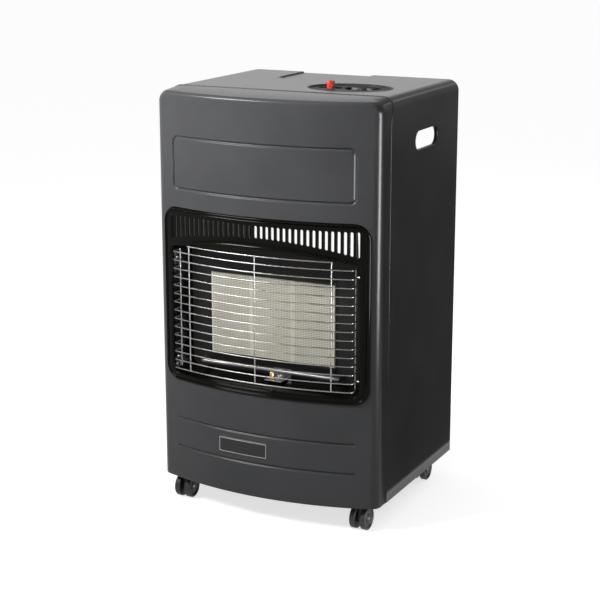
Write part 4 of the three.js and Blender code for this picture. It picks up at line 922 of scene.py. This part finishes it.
def makeSurround():
    # one face of rim, border, vent field and slots' edges that follows the bow, and a funnel behind the window
    face = surround["face"]
    rimProfile = np.array([(0.0, 1.2), (0.5, 1.35), (1.0, 1.9), (1.5, 2.6), (2.1, 3.15), (2.9, 3.45), (3.7, 3.4),
                           (4.5, 3.0), (5.2, 2.2), (5.7, 1.3), (6.0, 0.3), (6.0, -0.3)])
    inset = surround["rim"]
    loop, normal = boxLoop(surround["half"] - inset, surround["low"] + inset, surround["high"] - inset,
                           surround["radius"] - inset)
    rows = [onBow(loop + normal * out, proud) for out, proud in rimProfile]
    parts = [grid(np.array(rows), closeColumns=True)]

    # border strip down both sides and along the bottom
    window = surround["window"]
    roll = window["roll"]
    grown = window["half"] + roll
    topZ = windowTop(window["half"] - window["topRadius"]) - window["topRadius"]
    innerLow, outerLow = window["low"] - roll, surround["low"] + inset
    lowRadius, outerRadius = window["lowRadius"] + roll, surround["radius"] - inset
    outerHalf = surround["half"] - inset

    def border(half, low, radius):
        # down the right side, along the bottom and up the left side, round two corners
        p = [edgePoints((half, topZ + 1e-6), (half, low + radius), (1, 0), 22)[0],
             arcPoints(half - radius, low + radius, radius, 0, -90, 12)[0],
             edgePoints((half - radius, low), (radius - half, low), (0, -1), 60)[0],
             arcPoints(radius - half, low + radius, radius, 270, 180, 12)[0],
             edgePoints((-half, low + radius), (-half, topZ + 1e-6), (-1, 0), 22)[0]]
        return np.vstack([[(half, topZ)], *p, [(-half, topZ)]])

    inner, outer = border(grown, innerLow, lowRadius), border(outerHalf, outerLow, outerRadius)
    rows = [onBow(inner * (1 - t) + outer * t, face) for t in np.linspace(0, 1, 5)]
    parts.append(grid(np.array(rows)))

    # vent field and hood: columns follow the slots, rows follow the hood, the slots' ends and the rim
    vents = surround["vents"]
    half = vents["half"] + vents["lip"]
    end = (vents["count"] - 1) / 2 * vents["pitch"]
    slots = np.linspace(-end, end, vents["count"])
    outerX = np.linspace(grown, outerHalf, 5)
    between = slots - vents["pitch"] / 2
    inField = np.append(np.column_stack([between, slots, slots, slots]).ravel(), slots[-1] + vents["pitch"] / 2)
    columns = np.concatenate([-outerX[::-1], inField, outerX])
    columnSide = np.concatenate([np.zeros(5), np.tile([0, -1, 0, 1], len(slots)), np.zeros(6)])
    reach, bend = window["half"] - window["topRadius"], window["topRadius"] + roll
    hood = surround["hood"]

    # heights at the columns, from below: the window's rolled edge, the hood's crease, the slots' ends, the rim
    away = np.clip(np.abs(columns) - reach, 0, bend)
    lowLine = np.where(np.abs(columns) < reach, windowTop(columns) + roll,
                       topZ + np.sqrt(np.maximum(bend ** 2 - away ** 2, 0)))
    crease = hood["middle"] - hood["drop"] * np.clip(np.abs(columns) / hood["creaseHalf"], 0, 1) ** hood["power"]
    crease = np.maximum(crease, lowLine + 2.5)
    away = np.clip(np.abs(columns) - (outerHalf - outerRadius), 0, outerRadius)
    topLine = surround["high"] - inset - outerRadius + np.sqrt(outerRadius ** 2 - away ** 2)
    sag = vents["drop"] * (np.minimum(np.abs(columns), vents["sagHalf"]) / end) ** 2
    slotLow = np.maximum(vents["middle"] - sag - vents["lip"], crease + 1.0)
    slotTop = np.minimum(vents["top"] + vents["lip"], topLine - 1.5)
    lowEnd, highEnd = slotLow + half, np.maximum(slotTop - half, slotLow + half + 1)
    highest = np.maximum(slotTop, highEnd + half)

    quarter = np.radians([90, 67.5, 45, 22.5, 0])
    spread = 1.6  # how far a slot's columns stand apart above and below it
    rows, cut = [], []

    def addRow(z, side, share=0.0, isOpen=False):
        # a row at the heights z, its slot columns moved sideways, its hood share of the reach forward
        x = columns + columnSide * side
        rows.append(np.column_stack([x, bowAt(x) - face - hoodReach(x) * share, z]))
        cut.append(isOpen)

    for t in np.linspace(0, 1, 9):
        addRow(lowLine * (1 - t) + crease * t, spread, math.cos(t * math.pi / 2) ** 0.75)
    for t in (0.35, 0.7):
        addRow(crease * (1 - t) + slotLow * t, spread)
    for a in quarter:
        addRow(slotLow + half * (1 - math.sin(a)), half * math.cos(a), isOpen=True)
    for t in (0.25, 0.5, 0.75):
        addRow(lowEnd * (1 - t) + highEnd * t, half, isOpen=True)
    for a in quarter[::-1]:
        addRow(highEnd + half * math.sin(a), half * math.cos(a), isOpen=True)
    cut[-1] = False
    for t in (0.35, 0.7, 1.0):
        addRow(highest * (1 - t) + topLine * t, spread)
    rows = np.array(rows)
    keep = np.ones((len(rows) - 1, rows.shape[1] - 1), bool)
    left = np.flatnonzero(columnSide < 0)
    openRows = np.flatnonzero(cut[:-1])[:, None]
    keep[openRows, left] = keep[openRows, left + 1] = False
    parts.append(grid(rows, keep=keep))

    # each slot's rolled-in edge
    lip = lipRows(vents["lip"], 3.2, 3)
    for x in slots:
        bottom = vents["middle"] - vents["drop"] * (x / end) ** 2 + vents["half"]
        top = vents["top"] - vents["half"]
        base, normal = joinRuns([
            arcPoints(x, bottom, 0, 180, 360, 9), edgePoints((x, bottom), (x, top), (1, 0), 3),
            arcPoints(x, top, 0, 0, 180, 9), edgePoints((x, top), (x, bottom), (-1, 0), 3)])
        loops = [onBow(base + normal * (vents["half"] + out), face - deep) for out, deep in lip]
        parts.append(grid(np.array(loops), closeColumns=True))

    # funnel: from the window's rolled edge back to the burner panel
    def windowLoop(size, rise):
        # a loop with two round corners below and two above, where its edge rises to the middle by a parabola
        wide, low, lowRound, topRadius = size["half"], size["low"], size["lowRadius"], size["topRadius"]
        reachX = wide - topRadius

        def lineAt(x):
            return size["top"] + rise * (1 - (x / wide) ** 2)

        cornerZ = lineAt(reachX) - topRadius
        xs = np.linspace(reachX, -reachX, 72)[1:-1]
        foot = wide - lowRound
        return joinRuns([arcPoints(foot, low + lowRound, lowRound, -90, 0, 12),
                         edgePoints((wide, low + lowRound), (wide, cornerZ), (1, 0), 20),
                         arcPoints(reachX, cornerZ, topRadius, 0, 90, 8),
                         (np.column_stack([xs, lineAt(xs)]), np.tile([0.0, 1.0], (len(xs), 1))),
                         arcPoints(-reachX, cornerZ, topRadius, 90, 180, 8),
                         edgePoints((-wide, cornerZ), (-wide, low + lowRound), (-1, 0), 20),
                         arcPoints(-foot, low + lowRound, lowRound, 180, 270, 12),
                         edgePoints((-foot, low), (foot, low), (0, -1), 60)])

    front, frontNormal = windowLoop(window, window["rise"])
    back = surround["back"]
    rear, _ = windowLoop(back, 0.0)
    onTop = smoothStep((front[:, 1] - topZ) / 9.0)
    loops = []
    for out, deep in [(roll + 0.8, 0.15)] + lipRows(roll, 0, 5)[:-1]:
        at = front + frontNormal * out
        loops.append(onBow(at, face - deep + hoodReach(at[:, 0]) * onTop))
    start = loops[-1]
    finish = np.column_stack([rear[:, 0], np.full(len(rear), back["depth"]), rear[:, 1]])
    for t in np.linspace(0, 1, 13)[1:]:
        loops.append(start * (1 - t) + finish * t)
    funnel = newSheet("surroundFunnel", [grid(np.array(loops), closeColumns=True)], enamel,
                      inside=(0, -600, 360), nodes=["surround"], wall=1.0)
    funnel.data.flip_normals()  # it faces the opening, and its wall lies behind
    newSheet("surroundFace", parts, enamel, inside=(0, 200, 380), nodes=["surround"], sharp=44)


makeSurround()

# Guard: bowed cross wires, a straighter top wire, uprights, and the studs that hold it in the funnel
studs = dict(rows=(1, 13), radius=2.2, start=169.05, length=5.55)
guard = dict(half=170.0, low=252.5, rows=15, pitch=14.79, proud=7.75, back=19.0, bend=5.0, radius=1.1,
             topHalf=136.0, top=472.5, uprights=(-134.0, 0.0, 134.0), side=166.5)


def crossWirePath(z):
    # one guard wire: bowed across the front, bent back round a small corner at each end
    half, bend = guard["half"], guard["bend"]
    corner = float(bowAt(half)) - guard["proud"]
    x = np.linspace(-(half - bend), half - bend, 61)
    bow = np.column_stack([x, bowAt(x) - guard["proud"]])
    start = bow[-1]
    slope = (bow[-1] - bow[-2]) / np.linalg.norm(bow[-1] - bow[-2])
    meet = start + slope * ((half + 0.3 - start[0]) / slope[0])
    end = np.array([half - 0.6, corner + bend + 1.0])
    t = np.linspace(0, 1, 9)[1:, None]
    turn = start * (1 - t) ** 2 + 2 * meet * t * (1 - t) + end * t ** 2
    tail = np.array([half - 3.3, corner + guard["back"]])
    leg = end + (tail - end) * np.linspace(0, 1, 5)[1:, None]
    right = np.vstack([turn, leg])
    left = (right * [-1, 1])[::-1]
    plan = np.vstack([left, bow, right])
    return np.column_stack([plan, np.full(len(plan), z)])


def makeGuard():
    # cross wires at even heights, then straight wires between two ends, and lathed stud heads
    radius, heights = guard["radius"], guard["low"] + guard["pitch"] * np.arange(guard["rows"])
    parts = [sweep(crossWirePath(z), radius, reference=(0, 0, 1)) for z in heights]
    x = np.linspace(-guard["topHalf"], guard["topHalf"], 45)
    top = np.column_stack([x, bowAt(x) - guard["proud"], np.full(45, guard["top"])])
    parts.append(sweep(top, radius, reference=(0, 0, 1)))

    def addUpright(x, y, low, high):
        path = np.column_stack([np.full(9, x), np.full(9, y), np.linspace(low - 1.2, high + 1.2, 9)])
        parts.append(sweep(path, radius, reference=(1, 0, 0)))

    for x in guard["uprights"]:
        addUpright(x, float(bowAt(x)) - guard["proud"] + 1.6 * radius, guard["low"], guard["top"])
    y = float(bowAt(guard["half"])) - guard["proud"] + guard["back"] - radius
    for side in (-1, 1):
        addUpright(side * guard["side"], y, heights[0], heights[-1])
    newPiece("wireGuard", parts, wireChrome, nodes=["wire_guard"], sharp=60)
    head = [(0.01, 0), (1.2, 0.1), (1.9, 0.5), (studs["radius"], 1.3), (studs["radius"], studs["length"])]
    heads = []
    for row in studs["rows"]:
        for side in (-1, 1):
            profile = np.array(head) + [0, studs["start"]]
            points, faces = turned(profile, (0, y, guard["low"] + row * guard["pitch"]), "x", 24)
            heads.append((points * [side, 1, 1], faces))
    newPiece("guardStuds", heads, wireChrome, sharp=50)


makeGuard()
print("surround and guard made")


# Burner, gas way and other carried-over nodes: loose triangles welded, edges rounded, new finishes
def dressNode(name, finish, width=0.3, segments=2):
    # the node keeps its mesh and gets a finish, a weld, edges rounded by the width in millimetres, smooth shading
    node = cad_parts[name]
    for index in range(len(node.material_slots)):
        node.material_slots[index].link = "DATA"
        node.data.materials[index] = finish
    if not node.data.materials:
        node.data.materials.append(finish)
    weld = node.modifiers.new("Weld", "WELD")
    weld.merge_threshold = 1e-5
    edges = node.modifiers.new("Edges", "BEVEL")
    edges.width, edges.segments, edges.limit_method = width * 0.001, segments, "ANGLE"
    edges.angle_limit = math.radians(35)
    node.modifiers.new("Shading", "WEIGHTED_NORMAL")


carriedOver = dict(
    ceramic_plaque_left=(ceramic, 0.5), ceramic_plaque_centre=(ceramic, 0.5), ceramic_plaque_right=(ceramic, 0.5),
    plaque_retainer_top=(nearBlack, 0.2), plaque_retainer_bottom=(nearBlack, 0.2), burner_panel=(nearBlack, 0.3),
    burner_head=(zinc, 0.4), heat_shield=(zinc, 0.3), injector_bracket=(zinc, 0.3), pilot_bracket=(zinc, 0.25),
    gas_injector=(brass, 0.2), valve_stem=(brass, 0.2), gas_valve=(aluminium, 0.6, 3), igniter_body=(black, 0.3),
    base_pan=(paint, 0.3))
for name, look in carriedOver.items():
    dressNode(name, *look)

crossTube = dict(half=132.0, height=263.0, depth=5.0, radius=4.2, bend=7.0, foot=23.0)


def makeCrossTube():
    # the cross-lighting tube before the plaques' foot, bent back to the panel by a quarter circle at each end
    half, bend, depth = crossTube["half"], crossTube["bend"], crossTube["depth"]
    turn = np.linspace(0, math.pi / 2, 9)
    corner = np.column_stack([half - bend + bend * np.cos(turn), depth + bend - bend * np.sin(turn)])
    leg = np.column_stack([np.full(5, half), np.linspace(crossTube["foot"], depth + bend, 6)[:-1]])
    straight = np.column_stack([np.linspace(half - bend, bend - half, 30)[1:-1], np.full(28, depth)])
    side = np.vstack([leg, corner])
    plan = np.vstack([side, straight, (side * [-1, 1])[::-1]])
    path = np.column_stack([plan, np.full(len(plan), crossTube["height"])])
    newPiece("crossTube", sweep(path, crossTube["radius"], 24, (0, 0, 1), capped=False), tube,
             nodes=["cross_tube"], sharp=60)


pipes = dict(
    gasPipe=dict(radius=4.0, finish=aluminium, slotName="cast_aluminium", node="gas_pipe", places=[
        (-153, 82, 307), (-161, 82, 307), (-171, 84, 319), (-173, 88, 367), (-173, 92, 480), (-171, 96, 600),
        (-153, 112, 640), (-63, 152, 652), (33, 174, 660), (55, 173, 672), (73, 164, 684), (79.3, 164, 684)]),
    pilotPipe=dict(radius=2.0, finish=aluminium, slotName="cast_aluminium", node="pilot_pipe", places=[
        (12, 34.7, 254.5), (12, 44, 254.5), (42, 58, 236), (100, 66, 228), (150, 72, 260), (158, 80, 350),
        (150, 95, 450), (135, 118, 560), (138, 150, 650), (126, 156, 674), (116.7, 156, 674)]),
    sparkLead=dict(radius=1.8, finish=rubber, slotName="lead_rubber", node="spark_lead", places=[
        (46, 152, 659.5), (46, 152, 650.2), (50, 142, 640), (72, 120, 615), (112, 108, 560), (124, 94, 490),
        (134, 76, 400), (132, 70, 300), (100, 66, 262), (51, 54, 255.5), (25, 44, 254.5), (25, 34.7, 254.5)]))
mixer = [(10.5, 0), (15, 0), (15, 2), (12, 2), (12, 96), (13, 103), (15, 111), (18, 118), (16.5, 118),
         (13.5, 110.6), (11.6, 102.5), (10.5, 96), (10.5, 0.01)]  # radius, distance from its mouth
nozzle = [(0.01, 0.3), (8, 0.3), (8, 8), (5, 8), (5.6, 11), (4.4, 14), (5.6, 17), (4.4, 20), (5.2, 24), (3.2, 24),
          (3.2, 10), (0.01, 10)]


def makePipes():
    # a smooth path through each pipe's places, and two lathed fittings
    for name, pipe in pipes.items():
        newPiece(name, sweep(spline(pipe["places"], 150), pipe["radius"], 16, capped=False), pipe["finish"],
                 nodes=[pipe["node"]], sharp=60)
    profile = rounded(mixer, 0.5, 2) * [1, -1] + [0, -0.3]
    newPiece("mixerTube", turned(profile, (0, 82, 307), "x", 48), aluminium,
             nodes=["mixer_tube"], sharp=30)
    newPiece("hoseNozzle", turned(rounded(nozzle, 0.35, 2), (101, 191, 684), "y", 48), brass,
             nodes=["hose_nozzle"], sharp=30)


pilotTop = [(0.01, 251.3), (4.0, 251.3), (4.0, 260.5), (3.4, 262.2), (2.6, 263.5), (1.2, 263.5), (1.2, 259),
            (0.01, 259)]  # radius and height
insulator = [(0.01, -9), (1.9, -9), (2.4, -8.4), (2.4, 2), (3.1, 3), (3.1, 9), (2.4, 10), (2.4, 34), (0.01, 34)]


def makePilot():
    # a lathed pilot on its pipe, and beside it a lathed insulator with a bent spark tip
    parts = [turned(rounded(pilotTop, 0.3, 2), (12, -6, 0), sides=32)]
    parts.append(sweep([(12, y, 254.5) for y in np.linspace(-6, 34, 8)], 2.4, 20, (0, 0, 1), capped=False))
    newPiece("pilotBurner", parts, brass, nodes=["pilot_burner"], sharp=30)
    newPiece("sparkElectrode", turned(rounded(insulator, 0.4, 2), (25, 0, 254.5), "y", 28), porcelain,
             nodes=["spark_electrode"], sharp=30)
    z = np.linspace(254.5, 264, 8)
    tip = np.column_stack([25 - 3.0 * smoothStep((z - 258) / 7), np.full(8, -7.0), z])
    newPiece("sparkTip", sweep(tip, 0.9, 12, (1, 0, 0)), wireChrome, sharp=60)


makeCrossTube()
makePipes()
makePilot()
print("burner and gas way made")

# Casters: forked hood over two wheels, turning under a plate
caster = dict(trail=12.0, axle=20.0, width=11.0, spacing=19.5, hood=23.0, hoodAngles=(28, 113), top=42.9,
              places=dict(front_left=(-172, 28), front_right=(172, 28),
                          rear_left=(-172, 296), rear_right=(172, 296)))
wheel = [(3.4, 0.0), (17.0, 0.0), (20.0, 0.6), (20.0, 10.2), (17.2, 11.0), (16.0, 10.4), (15.2, 8.6), (7.6, 8.6),
         (7.0, 10.4), (3.4, 10.4)]  # radius, distance from the wheel's inner face
pin = [(0.01, -14.5), (2.4, -14.5), (3.0, -13.9), (3.0, 13.9), (2.4, 14.5), (0.01, 14.5)]


def makeCaster(tag, x, y):
    # lathed wheels and pin; a hood that is an arc over both wheels; a web carried across, and a lathed turret
    axleY, axleZ, half = y - caster["trail"], caster["axle"], caster["spacing"] / 2 + caster["width"] / 2
    inner, top = (caster["spacing"] - caster["width"]) / 2, caster["top"]
    swivel, housing = f"swivel_{tag}", [f"caster_housing_{tag}"]
    for side, letter in ((-1, "a"), (1, "b")):
        profile = rounded(wheel, 1.1, 4)
        profile = np.vstack([profile, profile[:1]])
        points, faces = turned(profile * [1, side] + [0, side * inner], (x, axleY, axleZ), "x", 56)
        newPiece(f"casterWheel_{tag}_{letter}", (points, faces), black, f"wheel_{tag}_{letter}",
                 [f"caster_wheel_{tag}_{letter}"], sharp=32)
    # hood, its sides turned down a little
    angle = np.radians(np.linspace(*caster["hoodAngles"], 26))
    across = np.concatenate([[-half - 0.2], np.linspace(-half, half, 17), [half + 0.2]])
    crown = caster["hood"] - 1.4 * np.clip((np.abs(across) - (half - 3)) / 3, 0, 1.1) ** 2
    a, r = np.meshgrid(angle, crown, indexing="ij")
    points = np.stack([np.broadcast_to(x + across, a.shape), axleY + r * np.cos(a), axleZ + r * np.sin(a)], -1)
    newPiece(f"casterHood_{tag}", grid(points), black, swivel, housing, sharp=60, closed=False,
             modifiers=[thicken(1.6), roundEdges(0.4)])
    # web and turret between the wheels
    outline = np.vstack([arcPoints(axleY, axleZ, 9, 180, 330, 20)[0],
                         [[y + 10, top - 16], [y + 10, top - 1], [y - 14, top - 1]]])
    middle = outline.mean(0)
    rings = []
    for wide, inset in ((-3.7, 0.6), (-3.75, 0.3), (-3.5, 0.0), (3.5, 0.0), (3.75, 0.3), (3.7, 0.6)):
        pulled = middle + (outline - middle) * (1 - inset / 14)
        rings.append(np.column_stack([np.full(len(outline), x + wide), pulled]))
    caps = [np.broadcast_to([x + wide * 0.98, *middle], rings[0].shape) for wide in (-3.7, 3.7)]
    web = grid(np.array([caps[0]] + rings + [caps[1]]), closeColumns=True)
    turret = rounded([(3.4, top - 12), (10.0, top - 12), (10.0, top), (3.4, top), (3.4, top - 11.9)], 0.7, 3)
    newPiece(f"casterWeb_{tag}", [web, turned(turret, (x, y, 0), sides=40)], black, swivel,
             housing, sharp=35)
    newPiece(f"casterAxle_{tag}", turned(rounded(pin, 0.3, 2), (x, axleY, axleZ), "x", 28), wireChrome,
             swivel, [f"caster_axle_{tag}"], sharp=35)
    dressNode(f"caster_plate_{tag}", zinc)


for tag, (x, y) in caster["places"].items():
    makeCaster(tag, x, y)
print("casters made")


# Bare plate on the lower front
def makeBadge():
    # the bare plate between the two lower lines follows the bow, and falls to the panel in its last millimetre
    u, v = np.linspace(-1, 1, 97), np.linspace(-1, 1, 41)
    a, b = np.meshgrid(u, v, indexing="ij")
    x, z = badge["x"] + badge["half"] * a, badge["z"] + badge["tall"] * b
    edge = np.minimum(badge["half"] * (1 - np.abs(a)), badge["tall"] * (1 - np.abs(b)))
    proud = badge["proud"] * np.sqrt(np.clip(edge / badge["rise"], 0, 1)) + 0.02
    newPiece("badgePlate", grid(np.stack([x, bowAt(x) - proud, z], -1)), badgeMetal, sharp=60,
             closed=False)


makeBadge()

# Floor, air and lamps. The floor and the air are white to the lens and in reflections, and pale to the rest.
stage = dict(reach=60.0, paper=(0.20, 0.20, 0.20), paperSeen=(0.70, 0.70, 0.70), paperGlow=(0.68, 0.68, 0.68),
             airLight=0.42, airSeen=1.0, airAbove=0.10, airBand=(0.25, 0.42),
             flagFoot=0.235, flagTop=(0.55, 1.3), flagY=(-0.06, 2.6), flagColour=(0.25, 0.25, 0.25))


def rays(f):
    # 1 for the rays that see the background: from the lens, off gloss and through glass
    path = f.tree.nodes.new("ShaderNodeLightPath")
    seen = Wire(f, path.outputs["Is Camera Ray"]).most(Wire(f, path.outputs["Is Glossy Ray"]))
    return seen.most(Wire(f, path.outputs["Is Transmission Ray"]))


def stageSheet(name, corners, finish):
    # one flat quad, not attached to any of the object's bodies
    mesh = bpy.data.meshes.new(name)
    mesh.from_pydata(corners, [], [(0, 1, 2, 3)])
    mesh.materials.append(finish.material)
    sheet = bpy.data.objects.new(name, mesh)
    bpy.context.scene.collection.objects.link(sheet)
    return sheet


def makeFloor():
    # one large sheet at the wheels' height
    f = Finish("floorPaper", Specular_IOR_Level=0.0, Roughness=1.0, Emission_Strength=1.0)
    seen = rays(f)
    f.feed("Base Color", f.mix(seen, stage["paper"], stage["paperSeen"]))
    f.feed("Emission Color", f.mix(seen, (0.0, 0.0, 0.0), stage["paperGlow"]))
    far = stage["reach"]
    stageSheet("floor", [(-far, -far, 0), (far, -far, 0), (far, far, 0), (-far, far, 0)], f)


def makeFlag():
    # a dark card to the right, which only the gloss of the side sees
    f = Finish("flagCloth", Specular_IOR_Level=0.0, Roughness=1.0, Base_Color=(*stage["flagColour"], 1.0))
    foot, (x, z), (near, far) = stage["flagFoot"], stage["flagTop"], stage["flagY"]
    flag = stageSheet("sideFlag", [(foot, near, 0), (foot, far, 0), (x, far, z), (x, near, z)], f)
    flag.visible_camera = flag.visible_diffuse = flag.visible_shadow = False


def makeWorld():
    # white round the horizon and greyer overhead; steady and paler for the light that it gives
    world = bpy.data.worlds.new("studioAir")
    bpy.context.scene.world = world
    world.use_nodes = True
    air = Nodes(world.node_tree)
    back = next(n for n in air.tree.nodes if n.type == "BACKGROUND")
    way = air.node("ShaderNodeTexCoord", {}, {}, "Generated")
    rise = air.node("ShaderNodeSeparateXYZ", {}, [way], "Z")
    shown = stage["airSeen"] - (stage["airSeen"] - stage["airAbove"]) * rise.ramp(*stage["airBand"])
    seen = rays(air)
    level = seen * shown + (1 - seen) * stage["airLight"]
    air.tree.links.new(level.socket, back.inputs["Strength"])
    back.inputs["Color"].default_value = (1.0, 1.0, 1.0, 1.0)


lamps = dict(
    key=dict(place=(-0.9, -1.10, 1.36), target=(-0.06, -0.17, 0.72), size=(0.6, 0.4), power=5.6, spread=60.0),
    over=dict(place=(-0.4, -0.1, 2.6), target=(-0.1, 0, 0.7), size=(2.0, 2.0), power=4.0, spread=180.0),
    fill=dict(place=(-0.2, -2.9, 1.3), target=(0, -0.15, 0.45), size=(0.9, 0.9), power=2.8, spread=180.0),
    rear=dict(place=(1.2, 2.3, 1.5), target=(0.1, 0.1, 0.4), size=(1.0, 1.0), power=14.0, spread=180.0),
    gloss=dict(place=(1.48, -0.36, 0.42), target=(0.2, -0.15, 0.62), size=(0.45, 0.75), power=46.0,
               spread=180.0, glossOnly=True))


def makeLamps():
    # rectangles of light; a gloss-only one shows in reflections and lights no matt surface
    for name, values in lamps.items():
        light = bpy.data.lights.new(name, "AREA")
        light.energy = values["power"]
        light.shape = "RECTANGLE"
        light.size, light.size_y = values["size"]
        light.spread = math.radians(values["spread"])
        lamp = bpy.data.objects.new(name, light)
        lamp.location = values["place"]
        aim(lamp, values["target"])
        lamp.visible_camera = False
        lamp.visible_diffuse = "glossOnly" not in values
        bpy.context.scene.collection.objects.link(lamp)


bpy.context.scene.view_settings.view_transform = "Standard"
makeFloor()
makeFlag()
makeWorld()
makeLamps()
print("floor and light made")
